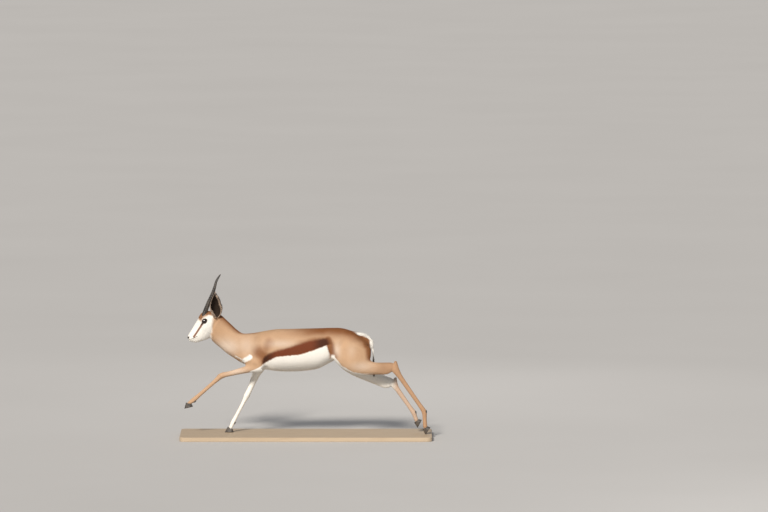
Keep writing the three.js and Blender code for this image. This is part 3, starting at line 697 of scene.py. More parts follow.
def white_and_highlight_mask(x, y, z):
    """Belly, inner sides of the legs, edge of the thigh, brisket, face and rump, and the painted
    highlights on top.
    """
    side, rough = np.abs(y), z + 2.0 * wobble(x, y, z, 8)
    border = np.interp(x, WHITE_BELOW[:, 0], WHITE_BELOW[:, 1])
    fore, hind = inner_side(x, y, z, "fore"), inner_side(x, y, z, "hind")
    belly = fade(rough, border - 4, border + 3) * (1 - ramp(x, 126, 150) * (1 - hind))
    belly = belly * ramp(x, -362, -348) * fade(x, 300, 360)
    standing_leg = (1 - fore) * fade(z, 362, 392) * fade(x, -260, -240) * (y > 0)
    belly = belly * (1 - standing_leg)
    chest = fade(side, 26, 46) * fade(z, 424, 470) * ramp(x, -410, -380)
    chest = chest * fade(x, 200, 300)
    fore = fore * fade(z, 385, 420) * fade(x, -256, -236)
    hind = hind * ramp(x, 160, 190) * fade(z, 500, 540) * (1 - 0.8 * ramp(x, 505, 550))
    white = np.maximum.reduce([belly, chest, fore, hind, white_rump(x, y, z)])
    for name, sign in SIDES.items():
        edge = [row[:2] for row in THIGHS[name][1:7]]
        band = soft_band(to_line(x, rough, edge), 9, 7) * fade(x, 320, 420)
        white = np.maximum(white, band * (sign * y > 0) * ramp(x, 140, 156) * fade(z, 470, 490))
    patch = soft_band(to_line(x, rough, BRISKET), 11, 7)
    patch = np.maximum(patch, 0.8 * soft_band(to_line(x, rough, BRISKET_TAIL), 1, 5))
    white = np.maximum(white, patch * ramp(side, 20, 36))
    face = fade(x + 4 * wobble(x, y, z, 14) - 0.10 * (z - 640), -576, -556) * ramp(z, 520, 540)
    # the painted highlights join the white mask here, as part white
    return np.maximum.reduce([white, face * (1 - crown(x, y, z)), painted_highlights(x, z)])


def crown(x, y, z):
    """The brown forehead, from above the eyes to the horns and back to the neck."""
    top = ramp((x + 714) * 0.62 + (z - 574) * 0.78, 122, 142) * ramp(z - 1.25 * x, 1440, 1460)
    return np.maximum(top, ramp(z + 0.1 * x, 650, 664)) * fade(np.abs(y), 32, 44)


print("white on the belly:", white_and_highlight_mask(*np.array([[0.0], [0], [376]])).round(2).tolist())

# %% Stripe, rufous and dark
def stripe_mask(x, y, z):
    """The flank stripe, sharp below and soft above, and the thin line from eye to mouth."""
    rough = z + 2.0 * wobble(x, y, z, 8)
    low = np.interp(x, STRIPE[:, 0], STRIPE[:, 1])
    high = np.interp(x, STRIPE[:, 0], STRIPE[:, 2])
    stripe = ramp(rough, low - 4, low + 3) * fade(rough, high - 12, high + 10)
    rear = fade(x + 0.4 * (z - 560), 114, 158)
    stripe = stripe * ramp(x, -272, -252) * rear * ramp(np.abs(y), 40, 60)
    return stripe, 0.92 * soft_band(to_line(x, z, FACE_STRIPE), 4, 4) * ramp(np.abs(y), 9, 14)


def rufous_mask(x, y, z):
    """The warm brown of the back and nape, a halo over the stripe and the fold of the flank. On the
    rump's edge and in the hollow behind the foreleg it is part rufous, part painted shade."""
    side, rough = np.abs(y), z + 5 * wobble(x, y, z, 30)
    high = np.interp(x, STRIPE[:, 0], STRIPE[:, 2])
    back = np.interp(x, [row[0] for row in TRUNK], [row[1] for row in TRUNK])
    saddle = ramp(rough - back, -72, -6) * ramp(x, -350, -180) * fade(x, 330, 372)
    saddle = saddle * (0.06 + 0.94 * ramp(x, -190, 90))
    nape = ramp(x, -556, -530) * fade(x, -330, -270) * fade(side, 12, 42) * ramp(z, 590, 612)
    halo = fade(rough - high, -4, 34) * ramp(z - high, -30, -6) * ramp(x, -120, -20)
    halo = 0.62 * halo * fade(x, 130, 170) * ramp(side, 40, 60)
    fold = 0.95 * soft_band(to_line(x, z, FLANK_FOLD), 10, 28) * ramp(side, 40, 60)
    # rufous coat along the rear edge of the rump, partly painted shade where it turns from the light
    edge = 0.95 * soft_band(to_line(x, rough, RUMP_EDGE), 9, 34) * ramp(x, 200, 280)
    # rufous coat behind the shoulder and along the blade's rear edge, partly painted shade in the hollow
    shoulder_rufous_and_shade = 0.86 * soft_band(to_line(x, z, SHOULDER_EDGE), 8, 48) * ramp(side, 40, 60)
    shoulder_rufous_and_shade = np.maximum(shoulder_rufous_and_shade, 0.55 * soft_band(to_line(x, z, BLADE_EDGE), 4, 40) * ramp(side, 40, 60))
    shank = 0.26 * ramp(x, 390, 470)
    top = 0.8 * crown(x, y, z) * fade(x, -580, -540)
    return np.maximum.reduce([saddle, 0.9 * nape, halo, fold, edge, shoulder_rufous_and_shade, shank, top])


def dark_mask(x, y, z):
    """Round the eye, the nose, the line of the mouth, and both ends of the stripe."""
    side = np.abs(y)
    lids = in_almond(x, z)
    eye = np.maximum(fade(lids, 1.25, 2.2), 0.75 * soft_band(to_line(x, z, EYE_STREAK), 2, 8))
    eye = eye * ramp(side, 16, 24)
    nose = soft_band(np.hypot(x + 709, z - 578), 4, 7)
    mouth = 0.7 * soft_band(to_line(x, z, MOUTH), 0.8, 2.2) * fade(x, -656, -646)
    ends = 0.75 * fade(x, -244, -176) + 0.66 * ramp(x, 20, 95)
    return np.maximum.reduce([eye, nose, mouth]), ends


def markings(points):
    """Four masks for points in metres: white with the painted highlights, stripe, rufous with some
    painted shade, and dark. White gives way to the stripes and to the dark skin of the face."""
    x, y, z = to_plan(points).T
    stripe, line = stripe_mask(x, y, z)
    dark, ends = dark_mask(x, y, z)
    white = white_and_highlight_mask(x, y, z) * (1 - stripe) * (1 - line)
    rufous = rufous_mask(x, y, z)
    return np.stack([white, np.maximum(stripe, line), rufous, np.maximum(dark, ends * stripe)], axis=1)


probe = to_frame([[0, -100, 520], [0, 0, 376], [0, -30, 634]])
print("flank, belly, back masks:", markings(probe).round(2).tolist())


# %% The depth of the coat
def into_hoof(x, y, z):
    """1 where the end of a leg lies inside its hoof: measured along the last bone, it begins a
    little before the joint that sits in the middle of the top of the hoof."""
    inside = np.zeros(len(x))
    for legs in (FORELEGS, HINDLEGS):
        for name, side in SIDES.items():
            (x0, z0), (x1, z1) = legs[name][0][-2:]
            past = ((x - x1) * (x1 - x0) + (z - z1) * (z1 - z0)) / math.hypot(x1 - x0, z1 - z0)
            near = (side * y > 0) & (np.hypot(x - x1, z - z1) < 50)
            inside = np.maximum(inside, near * ramp(past, -10, 2))
    return inside


def coat_depth(points):
    """How far the skin lies inside the solids, in metres: under 1 mm on the face and the lower
    legs, 3 mm on the body, and more under the raised hair of the rump and inside the hooves."""
    x, y, z = to_plan(points).T
    body = ramp(x, -600, -480) * fade(x, 430, 520) * ramp(z, 330, 420)
    crest = ramp(x, 290, 320) * ramp(z, 540, 590) * fade(np.abs(y), 18, 32)
    return (0.8 + 2.2 * body + 4.0 * crest + 3.6 * into_hoof(x, y, z)) * MM


print("coat depth on the back:", coat_depth(to_frame([[0, 0, 630]])).round(4).tolist())

# %% [markdown]
# ## Eyes, nostrils and mouth in the skin
#
# The face is what people look at first. A socket is pressed into the skin where the lids open, a
# pit where each nostril lies, and a groove along the line of the mouth with soft lips beside it.
# The points are moved along their normals by formulas of distance, the way a thumb works clay.

# %% Press the face into the skin
NOSTRIL = {"x": -704, "out": 12.5, "height": 580, "long": 9.5, "tall": 4.6, "tilt": 40}


def in_nostril(x, z):
    """Below 1 inside the rim of a nostril, which is an ellipse."""
    along, across = turned(x, z, NOSTRIL)
    return np.hypot(along / NOSTRIL["long"], across / NOSTRIL["tall"])


def eye_middle(side):
    """The middle of the eyeball of one side."""
    return np.array([EYE["x"], side * EYE["out"], EYE["height"]])


def press_face(points, normals):
    """Moves the points of the face in millimetres: behind the eyeball inside the lids, out onto a
    lid ball round them, in at the nostrils and the mouth, and out along the lips."""
    plan = to_plan(points)
    x, y, z = plan.T
    for side in SIDES.values():
        middle = eye_middle(side)
        away = plan - middle
        far = np.linalg.norm(away, axis=1)
        outwards = side * away[:, 1] > 0
        m = in_almond(x, z)
        inside = outwards & (m < 1.0)
        plan[inside] = middle + away[inside] * ((EYE["radius"] - 2.5) / far[inside])[:, None]
        rim = outwards & (m >= 1.0) & (far < 27)
        target = EYE["radius"] + 2.6 - 1.6 * ramp(m, 1.0, 3.4)
        push = np.where(rim, np.maximum(target - far, 0) * fade(m, 2.4, 4.2), 0)
        plan += away / np.maximum(far, 1)[:, None] * push[:, None]
        nostril, on_side = in_nostril(x, z), ramp(side * y, 2, 6)
        pit = fade(nostril, 0.45, 1.05) * on_side
        rim = np.exp(-((nostril - 1.35) / 0.3) ** 2)
        plan += normals * (0.9 * rim * on_side - 5.5 * pit)[:, None]
    line = to_line(x, z, MOUTH)
    on_lips = fade(x, -660, -646)
    lips = np.exp(-((line - 4.5) / 2.4) ** 2) * on_lips
    plan += normals * (1.3 * lips - 2.8 * fade(line, 0.4, 2.4) * on_lips)[:, None]
    return to_frame(plan)


normals = point_normals(points, quads, triangles)
points = points - normals * coat_depth(points)[:, None]
points = press_face(points, point_normals(points, quads, triangles))
skin = make_mesh("skin", points, quads, triangles)


def store_marks(piece, marks):
    """Keeps the four masks as one colour attribute on the points of a piece."""
    layer = piece.data.color_attributes.new("marks", "FLOAT_COLOR", "POINT")
    layer.data.foreach_set("color", np.ascontiguousarray(marks, np.float32).ravel())


store_marks(skin, markings(points))
FLESH = ["head", "neck", "torso", "tail"]
FLESH += [f"{leg}_{name}_{half}" for leg in ("foreleg", "hindleg") for name in SIDES
          for half in ("upper", "lower")]


def dress(piece, slot, *nodes):
    """Every piece rides on the one body of this model and may stand for some of the solids, which it
    hides. The slot is not used."""
    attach(piece, "root")
    if nodes:
        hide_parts(*nodes)
    return piece


dress(skin, "coat", *FLESH)
print("skin stands for", len(FLESH), "nodes")

# %% [markdown]
# ## An unwrap of the skin
#
# The tufts of the coat will each carry one small patch of a flat map. The map is the skin's own
# unwrap: the surface is cut into pieces that lie nearly flat and they are laid side by side.

# %% Unwrap
def unwrap(piece):
    """Lays the surface flat by the direction of its faces, in a map named OFBake."""
    piece.data.uv_layers.new(name="OFBake")
    bpy.context.view_layer.objects.active = piece
    piece.select_set(True)
    bpy.ops.object.mode_set(mode="EDIT")
    bpy.ops.mesh.select_all(action="SELECT")
    bpy.ops.uv.smart_project(angle_limit=math.radians(66), island_margin=0.001)
    bpy.ops.object.mode_set(mode="OBJECT")
    piece.select_set(False)


unwrap(skin)
print("unwrapped", len(skin.data.polygons), "faces")

# %% [markdown]
# ## Ears
#
# An ear is a leaf rolled into a cup: nearly closed at its root, open to the side above, with a thin
# wall that narrows to a point. The leaf is a function of two parameters, the height s from root to
# tip and the angle a round the roll. An outer and an inner layer share one ring, so the wall is
# closed along both edges.

# %% The leaf of an ear
EAR = {"x": -541, "out": 34, "height": 704, "length": 158, "half": 31}


def ear_axes(side):
    """Root, direction from root to tip, direction across, and direction towards the opening."""
    lean, splay = math.radians(-3), math.radians(21)
    rise = np.array([math.sin(lean), side * math.cos(lean) * math.sin(splay),
                     math.cos(lean) * math.cos(splay)])
    across = unit(np.cross(rise, unit([0.75, side, 0])))
    return np.array([EAR["x"], side * EAR["out"], EAR["height"]]), rise, across, np.cross(across, rise)


def ear_layer(side, s, turn, wall):
    """Points of one layer: s runs from root to tip and turn from -1 to 1 round the roll. The half
    width is a sine swell that closes at the tip, the roll opens from 150 to 60 degrees, and the
    point lies on a circle whose radius makes the given width, less the wall."""
    root, rise, across, outward = ear_axes(side)
    half = EAR["half"] * (0.36 + 0.9 * np.sin(np.pi * s**0.85)) * (1 - s**5)
    half = np.maximum(half, 0.8)
    curl = np.radians(150 - 70 * np.minimum(s / 0.4, 1) - 20 * s)
    radius = half / np.sin(np.minimum(curl, np.pi / 2))
    angle = curl * turn
    thin = wall * np.minimum(half / 6, 1) * (1 - 0.75 * np.abs(turn) ** 3)
    r = radius - thin
    lip = 1.6 * np.sin(9 * s + 2 * turn) * np.abs(turn) ** 6 * np.sin(np.pi * s)
    return (root + rise * (EAR["length"] * s)[..., None] + across * (r * np.sin(angle))[..., None]
            + outward * (radius * 0.35 - r * np.cos(angle) + lip)[..., None])


def ear_grid(side, levels, steps):
    """Rings that run up the outer layer and back down the inner one."""
    s = np.linspace(0, 1, levels)[:, None] + np.zeros(steps)
    turn = np.linspace(-1, 1, steps)[None, :] + 0 * s
    outer, inner = ear_layer(side, s, turn, 0.0), ear_layer(side, s, turn, 3.4)[:, ::-1]
    return np.concatenate([outer, inner], axis=1)


def ear_marks(count, steps):
    """Outside pale fawn, inside nearly black with a paler front edge, and a thin dark rim. The black
    inside is partly the ear's own dark skin and partly painted shade in the cup.
    """
    s = np.linspace(0, 1, count)[:, None] + np.zeros(2 * steps)
    turn = np.concatenate([np.linspace(-1, 1, steps), np.linspace(1, -1, steps)])[None, :] + 0 * s
    inside = np.concatenate([np.zeros(steps), np.ones(steps)])[None, :] + 0 * s
    rim = ramp(np.abs(turn), 0.9, 1.0)
    # inside the cup: partly the ear's dark skin, partly painted shade
    dark = np.maximum(0.98 * inside * fade(np.abs(turn), 0.72, 0.98), 0.5 * rim * ramp(s, 0.3, 0.6))
    dark = np.maximum(dark, 0.6 * ramp(s, 0.88, 1.0))
    white = 0.3 * (1 - inside) + 0.25 * inside
    marks = np.stack([white, 0 * s, 0.2 * (1 - inside), dark], axis=2).reshape(-1, 4)
    return np.concatenate([marks, marks[:1], marks[-1:]])


EAR_LEVELS, EAR_STEPS = 60, 33
ears = {}
for name, side in SIDES.items():
    grid = to_frame(ear_grid(side, EAR_LEVELS, EAR_STEPS))
    ears[name] = make_mesh(f"ear_shell_{name}", *tube(grid))
    store_marks(ears[name], ear_marks(EAR_LEVELS, EAR_STEPS))
    dress(ears[name], "coat", f"ear_{name}")
print("ear:", len(ears["left"].data.polygons), "faces each")

# %% [markdown]
# ## Horns
#
# Horn grows in rings. The horn is a round profile carried along a bent line: it leans back, turns
# out and comes in again at the tip. The rings are a wave added to the radius, strong in the lower
# part and gone before the smooth point.

# %% Two ringed horns
# x, distance out, height, radius, from inside the head to the tip
HORN = [
    [-618, 18, 688, 13.5], [-612, 20, 712, 13.5], [-602, 22, 742, 13], [-584, 27, 787, 12],
    [-564, 31, 832, 10.5], [-549, 32, 876, 8.5], [-538, 27, 916, 6.5], [-520, 17, 948, 4],
    [-512, 13, 957, 1.4],
]
RINGS = 27


def horn_surface(side, steps, count):
    """A circle carried along the horn. Its radius is the tapered one plus a broad ridge for each
    ring with a narrow groove beside it: the absolute half wave of t times the number of rings, to
    the power 0.75, lowered towards the tip."""
    rows = smooth_rows(HORN, steps)
    t = np.linspace(0, 1, len(rows))
    wave = np.abs(np.cos(np.pi * RINGS * t)) ** 0.75 - 0.6
    strength = 1.15 * ramp(t, 0.14, 0.22) * fade(t, 0.67, 0.84)
    v = np.linspace(0, 2 * np.pi, count, endpoint=False)
    front = 1 + 0.25 * np.cos(v)[None, :]
    radii = rows[:, 3:4] * (1 + 0.05 * np.cos(v)[None, :]) + (strength * wave)[:, None] * front
    line = rows[:, :3] * [1, side, 1]
    return line_tube(line, radii, count)


for name, side in SIDES.items():
    p, q, t = horn_surface(side, steps=36, count=40)
    horn = make_mesh(f"ringed_horn_{name}", to_frame(p), q, t)
    dress(horn, "horn", f"horn_{name}")
print("horn:", len(horn.data.polygons), "faces each")

# %% [markdown]
# ## Eyes and lids
#
# The eye is a wet ball, nearly black, with a lid rim that is dark and slightly swollen. The rim is
# a round bead that follows the opening on the eyeball, and it also hides the edge of the socket.

# %% Eyeballs and rims
def eye_bead(side, radius, thick, count=48):
    """A bead along the almond of the lids: each point of the outline is set on a ball round the
    eye, and a small circle stands there across the outline."""
    v = np.linspace(0, 2 * np.pi, count, endpoint=False)
    along = np.cos(v) * EYE["long"] * 1.03
    across = np.abs(np.sin(v)) ** 1.3 * np.sign(np.sin(v)) * EYE["tall"] * 1.03
    c, s = math.cos(math.radians(EYE["tilt"])), math.sin(math.radians(EYE["tilt"]))
    depth = np.sqrt(np.maximum(radius**2 - along**2 - across**2, 1))
    line = np.stack([along * c - across * s, side * depth, along * s + across * c], axis=1)
    ahead = unit(np.roll(line, -1, axis=0) - np.roll(line, 1, axis=0))
    out = unit(line)
    beside = np.cross(ahead, out)
    w = np.linspace(0, 2 * np.pi, 10, endpoint=False)[None, :, None]
    size = thick * (0.8 + 0.35 * (np.sin(v) > 0))[:, None, None]
    ring = line[:, None] + size * (np.cos(w) * out[:, None] + 0.8 * np.sin(w) * beside[:, None])
    return ring + eye_middle(side)


def closed_ring(grid):
    """Faces of a tube whose last ring joins its first, as on a bead or a torus."""
    rings, count = grid.shape[:2]
    i, j = np.meshgrid(np.arange(rings), np.arange(count), indexing="ij")
    a, b = i * count + j, i * count + (j + 1) % count
    c, d = (i + 1) % rings * count + (j + 1) % count, (i + 1) % rings * count + j
    quads = np.stack([a, b, c, d], axis=2).reshape(-1, 4)
    points = grid.reshape(-1, 3)
    a, b, c, d = points[quads.T]
    normal = np.cross(c - a, d - b)
    ring_middle = np.repeat(grid.mean(axis=1), count, axis=0)
    outside = points[quads].mean(axis=1) - ring_middle
    if np.einsum("ij,ij->", normal, outside) < 0:
        quads = quads[:, ::-1]
    return points, quads, np.zeros((0, 3), int)


for name, side in SIDES.items():
    p, q, t = ball(eye_middle(side), [EYE["radius"]] * 3, 0, 48)
    dress(make_mesh(f"eyeball_{name}", to_frame(p), q, t), "eye", f"eye_{name}")
    p, q, t = closed_ring(eye_bead(side, EYE["radius"] + 1.2, 2.0))
    bead = make_mesh(f"eye_rim_{name}", to_frame(p), q, t)
    dress(bead, "hoof")
print("eyes and rims made")

# %% [markdown]
# ## Hooves
#
# Each foot has two claws with a narrow slot between them, and two small dewclaws behind the fetlock.
# A claw is flat on its inner side and bulges outside, comes to a point at the toe, and is cut by a
# slanted plane where the hair begins. The rings run from the sole to that plane.

# %% Claws and dewclaws
CLAW = {"sole": (-21, 32, 18), "top": (-17, 14, 14.5), "slot": 1.2, "heel": 17, "toe": 33}


def claw_grid(hand, levels=14, around=26):
    """Rings of one claw in the foot's own frame: x to the toe, y across, z up. The outer edge
    swells out from the heel and closes at the toe by powers of the place t along the foot, and the
    inner edge is straight. Low down the wall flares a little."""
    s = np.linspace(0, 1, levels)[:, None]
    heel, toe, wide = (a + (b - a) * s for a, b in zip(CLAW["sole"], CLAW["top"]))
    t = np.concatenate([np.linspace(0, 1, around), np.linspace(1, 0, 8)[1:-1]])[None, :]
    outer = np.concatenate([np.ones(around), np.zeros(6)])[None, :]
    heel_end = np.sqrt(np.maximum(1 - (1 - t) ** 5, 0.04))
    reach = outer * heel_end * (1 - t**2.4) ** 0.75
    x = heel + (toe - heel) * t
    round_off = 1.5 * ramp(-s, -0.1, 0) * reach
    y = hand * (CLAW["slot"] + wide * reach - round_off)
    z = s * (CLAW["heel"] + (CLAW["toe"] - CLAW["heel"]) * t)
    return np.stack([x + 0 * s, y, z + 0 * t], axis=2)


def foot_axes(joints, out, toe_angle, side):
    """Toe direction, direction across, direction up, and the place of the foot's own origin."""
    angle = math.radians(toe_angle)
    toe = np.array([math.cos(angle), 0, math.sin(angle)])
    up = np.array([math.sin(angle), 0, -math.cos(angle)])
    middle = (CLAW["top"][0] + CLAW["top"][1]) / 2
    height = (CLAW["heel"] + CLAW["toe"]) / 2
    place = np.array([joints[-1][0], side * out[-1], joints[-1][1]]) - toe * middle - up * height
    return np.stack([toe, np.cross(up, toe), up]), place


LEAST_CLEARANCE = 0.3
for legs, which in ((FORELEGS, "fore"), (HINDLEGS, "hind")):
    for name, side in SIDES.items():
        joints, out, toe_angle = legs[name]
        axes, place = foot_axes(joints, out, toe_angle, side)
        for label, hand in (("inner", side), ("outer", -side)):
            grid = claw_grid(hand) @ axes + place
            grid[..., 2] = np.maximum(grid[..., 2], LEAST_CLEARANCE)
            claw = make_mesh(f"claw_{which}_{name}_{label}", *tube(to_frame(grid)))
            dress(claw, "hoof", f"hoof_{which}_{name}_{label}")

DEWCLAW = {"behind": 13.5, "beside": 8.5, "radii": [5.0, 4.0, 8.5]}
dewclaws = []
for legs in (FORELEGS, HINDLEGS):
    for name, side in SIDES.items():
        joints, out, _ = legs[name]
        (x0, z0), (x1, z1) = joints[-2], joints[-1]
        angle = math.atan2(z1 - z0, x1 - x0)
        for hand in (-1, 1):
            middle = [x0 - math.sin(angle) * DEWCLAW["behind"],
                      side * out[-2] + hand * DEWCLAW["beside"],
                      z0 + math.cos(angle) * DEWCLAW["behind"]]
            dewclaws.append(ball(middle, DEWCLAW["radii"], math.pi / 2 - angle, 16))
dewclaws = make_mesh("dewclaws", *join([(to_frame(p), q, t) for p, q, t in dewclaws]))
dress(dewclaws, "hoof")
print("eight claws and eight dewclaws")

# %% [markdown]
# ## The lie of the coat
#
# Hair does not grow at random. It runs back from the nose, down the neck, along the trunk and down
# each leg. A few anchors hold the direction, the hair length and how far the tips lift. Any point
# takes a soft average of the anchors near it, so the coat turns smoothly from part to part.

# %% Anchors of the lie
# x, distance out, height, direction in x and in height, hair length, lift of the tips
LIE = [
    [-705, 0, 585, 0.75, 0.6, 2.8, 0.25], [-660, 0, 640, 0.6, 0.8, 3.6, 0.3],
    [-640, 30, 600, 0.9, 0.3, 4.2, 0.35], [-610, 40, 640, 0.9, 0.2, 4.8, 0.4],
    [-640, 0, 705, 0.7, 0.7, 5, 0.4], [-590, 0, 735, 1.0, 0.0, 6.5, 0.6],
    [-600, 20, 570, 0.9, 0.1, 6, 0.6], [-560, 40, 640, 0.9, -0.3, 6.5, 0.5],
    [-535, 0, 722, 0.8, -0.6, 8, 0.8], [-560, 0, 570, 0.6, -0.8, 8, 0.9],
    [-490, 50, 610, 0.75, -0.66, 8, 0.7], [-490, 0, 530, 0.7, -0.7, 9, 1.0],
    [-400, 60, 540, 0.8, -0.6, 8.5, 0.7], [-420, 0, 460, 0.7, -0.7, 9.5, 1.1],
    [-340, 70, 500, 0.6, -0.8, 8.5, 0.7], [-260, 95, 520, 0.8, -0.6, 8.5, 0.7],
    [-300, 0, 605, 1.0, 0.05, 9, 0.8], [-50, 0, 635, 1.0, 0.0, 9.5, 0.8],
    [200, 0, 636, 1.0, -0.05, 10, 0.8], [-100, 100, 520, 1.0, -0.12, 9, 0.7],
    [-50, 0, 378, 1.0, 0.0, 11, 1.2], [140, 95, 480, 0.9, -0.3, 9.5, 0.8],
    [270, 100, 520, 0.75, -0.66, 8.5, 0.7], [350, 90, 440, 0.85, -0.5, 8, 0.7],
    [300, 0, 618, 0.95, 0.1, 10, 1.0], [345, 0, 612, 0.9, -0.1, 10, 1.0],
    [385, 0, 590, 0.7, -0.6, 10, 1.2], [380, 36, 530, 0.3, -0.9, 11, 1.4],
    [404, 0, 480, 0.05, -1.0, 10, 1.2],
]


def limb_anchors():
    """Two anchors on each bone of each leg: the hair runs down the bone and shortens to the foot."""
    rows = []
    for legs, start in ((FORELEGS, 6.5), (HINDLEGS, 6.0)):
        for name, side in SIDES.items():
            joints, out, _ = legs[name]
            joints = np.asarray(joints, float)
            for bone in range(len(joints) - 1):
                dx, dz = unit(joints[bone + 1] - joints[bone])
                for place in (0.25, 0.75):
                    x, z = joints[bone] + (joints[bone + 1] - joints[bone]) * place
                    length = start - 1.0 * (bone + place)
                    rows.append([x, side * out[bone], z, dx, dz, length, 0.05 * length])
    return rows


def lie_table():
    """All anchors, with those off the middle plane given for both sides."""
    rows = [row for row in LIE if row[1] == 0]
    rows += [[row[0], side * row[1]] + row[2:] for row in LIE if row[1] for side in (-1, 1)]
    return np.array(rows + limb_anchors(), float)


def lie_of(points):
    """Direction, length and lift at points in metres: a weighted mean of the anchors, where the
    weight is exp of minus the square of the distance over 60 millimetres. The crest adds its own
    long raised hair."""
    table = lie_table()
    plan = to_plan(points)
    weight = np.zeros((len(plan), len(table)), np.float32)
    for k, row in enumerate(table):
        weight[:, k] = np.exp(-((plan - row[:3]) ** 2).sum(axis=1) / 60.0**2) + 1e-9
    weight /= weight.sum(axis=1, keepdims=True)
    mean = weight @ table[:, 3:].astype(np.float32)
    crest = crest_edge(*plan.T)
    direction = np.stack([mean[:, 0], 0 * mean[:, 0], mean[:, 1]], axis=1)
    return direction, mean[:, 2] + 17 * crest, mean[:, 3] + 7 * crest


print("anchors:", len(lie_table()), "lie on the flank:", lie_of(probe[:1])[0].round(2).tolist())

# %% [markdown]
# ## A coat of small tufts
#
# Particle hair would be lost when the model is exported, so every tuft is a thin closed sliver of
# mesh: a flat triangle at the root, sunk in the skin, and a point at the tip. Roots are scattered
# over the skin by area, with more of them where the hair is short. Each tuft keeps the masks of its
# root, so the markings run through the coat without a step.

# %% Roots on the skin
def point_values(mesh, name, width):
    """One attribute of the points of a mesh as an array."""
    values = np.zeros(len(mesh.vertices) * width, np.float32)
    data = mesh.attributes[name].data if name != "normal" else mesh.vertices
    data.foreach_get({"position": "vector", "marks": "color", "normal": "normal"}[name], values)
    return values.reshape(-1, width)


def scatter(piece, density):
    """Random roots: each triangle gets as many as its area times the density at its middle, and
    each root lies at a random mix of the three corners. Gives the points, normals, map places and
    masks of the roots."""
    mesh = piece.data
    mesh.calc_loop_triangles()
    corners = np.zeros(len(mesh.loop_triangles) * 3, np.int32)
    mesh.loop_triangles.foreach_get("vertices", corners)
    loops = np.zeros_like(corners)
    mesh.loop_triangles.foreach_get("loops", loops)
    corners, loops = corners.reshape(-1, 3), loops.reshape(-1, 3)
    uv = np.zeros(len(mesh.loops) * 2, np.float32)
    mesh.uv_layers["OFBake"].data.foreach_get("uv", uv)
    co = point_values(mesh, "position", 3)[corners]
    area = np.linalg.norm(np.cross(co[:, 1] - co[:, 0], co[:, 2] - co[:, 0]), axis=1) / 2
    count = np.floor(area * density(co.mean(axis=1)) + rng.random(len(area))).astype(int)
    face = np.repeat(np.arange(len(count)), count)
    r1, r2 = np.sqrt(rng.random(len(face))), rng.random(len(face))
    mix = np.stack([1 - r1, r1 * (1 - r2), r1 * r2], axis=1)
    blend = lambda values: np.einsum("ij,ijk->ik", mix, values[face])
    return (blend(co), unit(blend(point_values(mesh, "normal", 3)[corners])),
            blend(uv.reshape(-1, 2)[loops]), blend(point_values(mesh, "marks", 4)[corners]))


print("masks kept on the skin:", point_values(skin.data, "marks", 4).shape)


# %% Bare places, and how dense the hair stands
def bare(points):
    """1 where no tuft grows: on the nose, in the nostrils and mouth, and between the lids."""
    x, y, z = to_plan(points).T
    m = in_almond(x, z)
    none = (m < 1.7) & (np.abs(y) > 15)
    none |= np.hypot(x + 711, z - 578) < 11
    none |= (to_line(x, z, MOUTH) < 2.5) & (x < -650)
    none |= in_nostril(x, z) < 1.5
    return none


COVER = {"layers": 4.7, "slender": 0.2, "least_width": 1.5 * MM, "most": 540000, "on_ears": 520000}


def hair_density(points):
    """Roots for each square metre: the skin is covered nearly five times over if each tuft covers
    a patch of its length times a fifth of it."""
    _, length, _ = lie_of(points)
    length = length * MM
    width = np.maximum(length * COVER["slender"], COVER["least_width"])
    return np.minimum(COVER["layers"] / (length * width), COVER["most"])


roots, root_normals, root_maps, _ = scatter(skin, hair_density)
keep = ~bare(roots)
roots, root_normals, root_maps = roots[keep], root_normals[keep], root_maps[keep]
print("roots:", len(roots))


# %% Slivers of hair
def slivers(roots, normals, lie, length, lift, width, sink):
    """One closed sliver for each root. Across the lie lie two root points, a third stands on the
    ridge between them, all sunk a little, and the tip lies the length away along the lie and the
    lift above the skin. Gives the points, the faces and a normal for each point, which leans only
    a little off that of the skin, so that the coat shades like one sleek surface."""
    along = unit(lie - normals * np.einsum("ij,ij->i", lie, normals)[:, None])
    beside = np.cross(normals, along)
    low = roots - normals * sink[:, None]
    half = (width / 2)[:, None]
    tip = roots + along * length[:, None] + normals * lift[:, None]
    ridge = low + normals * (width * 0.28 + sink * 0.6)[:, None]
    points = np.stack([low - beside * half, low + beside * half, ridge, tip], axis=1)
    shading = [normals - 0.6 * beside, normals + 0.6 * beside, normals - 0.2 * along, normals]
    first = 4 * np.arange(len(roots))[:, None]
    faces = np.concatenate([first + f for f in ([0, 1, 3], [1, 2, 3], [2, 0, 3], [0, 2, 1])])
    return points.reshape(-1, 3), faces, unit(np.stack(shading, axis=1).reshape(-1, 3))


def outward_faces(points, faces):
    """Turns the faces of four-cornered slivers outwards, by the sign of the volume of the first."""
    a, b, c, d = points[:4]
    volume = np.dot(a - d, np.cross(b - d, c - d))
    return faces if volume < 0 else faces[:, ::-1]


def set_map(piece, maps, spread, size=0.003):
    """Each tuft takes a small patch round the map place of its root: its points are spread over
    the patch in a fixed order, and every corner of a face takes the place of its point."""
    places = (maps[:, None] + (spread - 0.5)[None] * size).reshape(-1, 2)
    corners = np.zeros(len(piece.data.loops), np.int32)
    piece.data.loops.foreach_get("vertex_index", corners)
    layer = piece.data.uv_layers.new(name="OFBake")
    layer.data.foreach_set("uv", places[corners].astype(np.float32).ravel())


def set_shade(piece, shade):
    """Keeps how light each point of a coat piece is, from 0 to 1."""
    layer = piece.data.attributes.new("shade", "FLOAT", "POINT")
    layer.data.foreach_set("value", shade.astype(np.float32))


print("a tuft has 4 points and 4 faces")

# %% One piece of the coat
# swirl and stray angle in radians, shares of length and lift, width as a share of the length and
# its limits, depth of the root under the skin, and how light a tuft is at random and at its tip
HAIR = {
    "swirl": 0.16, "swirl_size": 60, "stray": 0.07, "lengths": (0.75, 1.2), "lifts": (0.35, 1.2),
    "slender": 0.17, "widths": (0.7, 2.0), "sunk": 0.5, "tones": 0.7, "tip_tones": [0, 0, 0.08, 0.25],
}


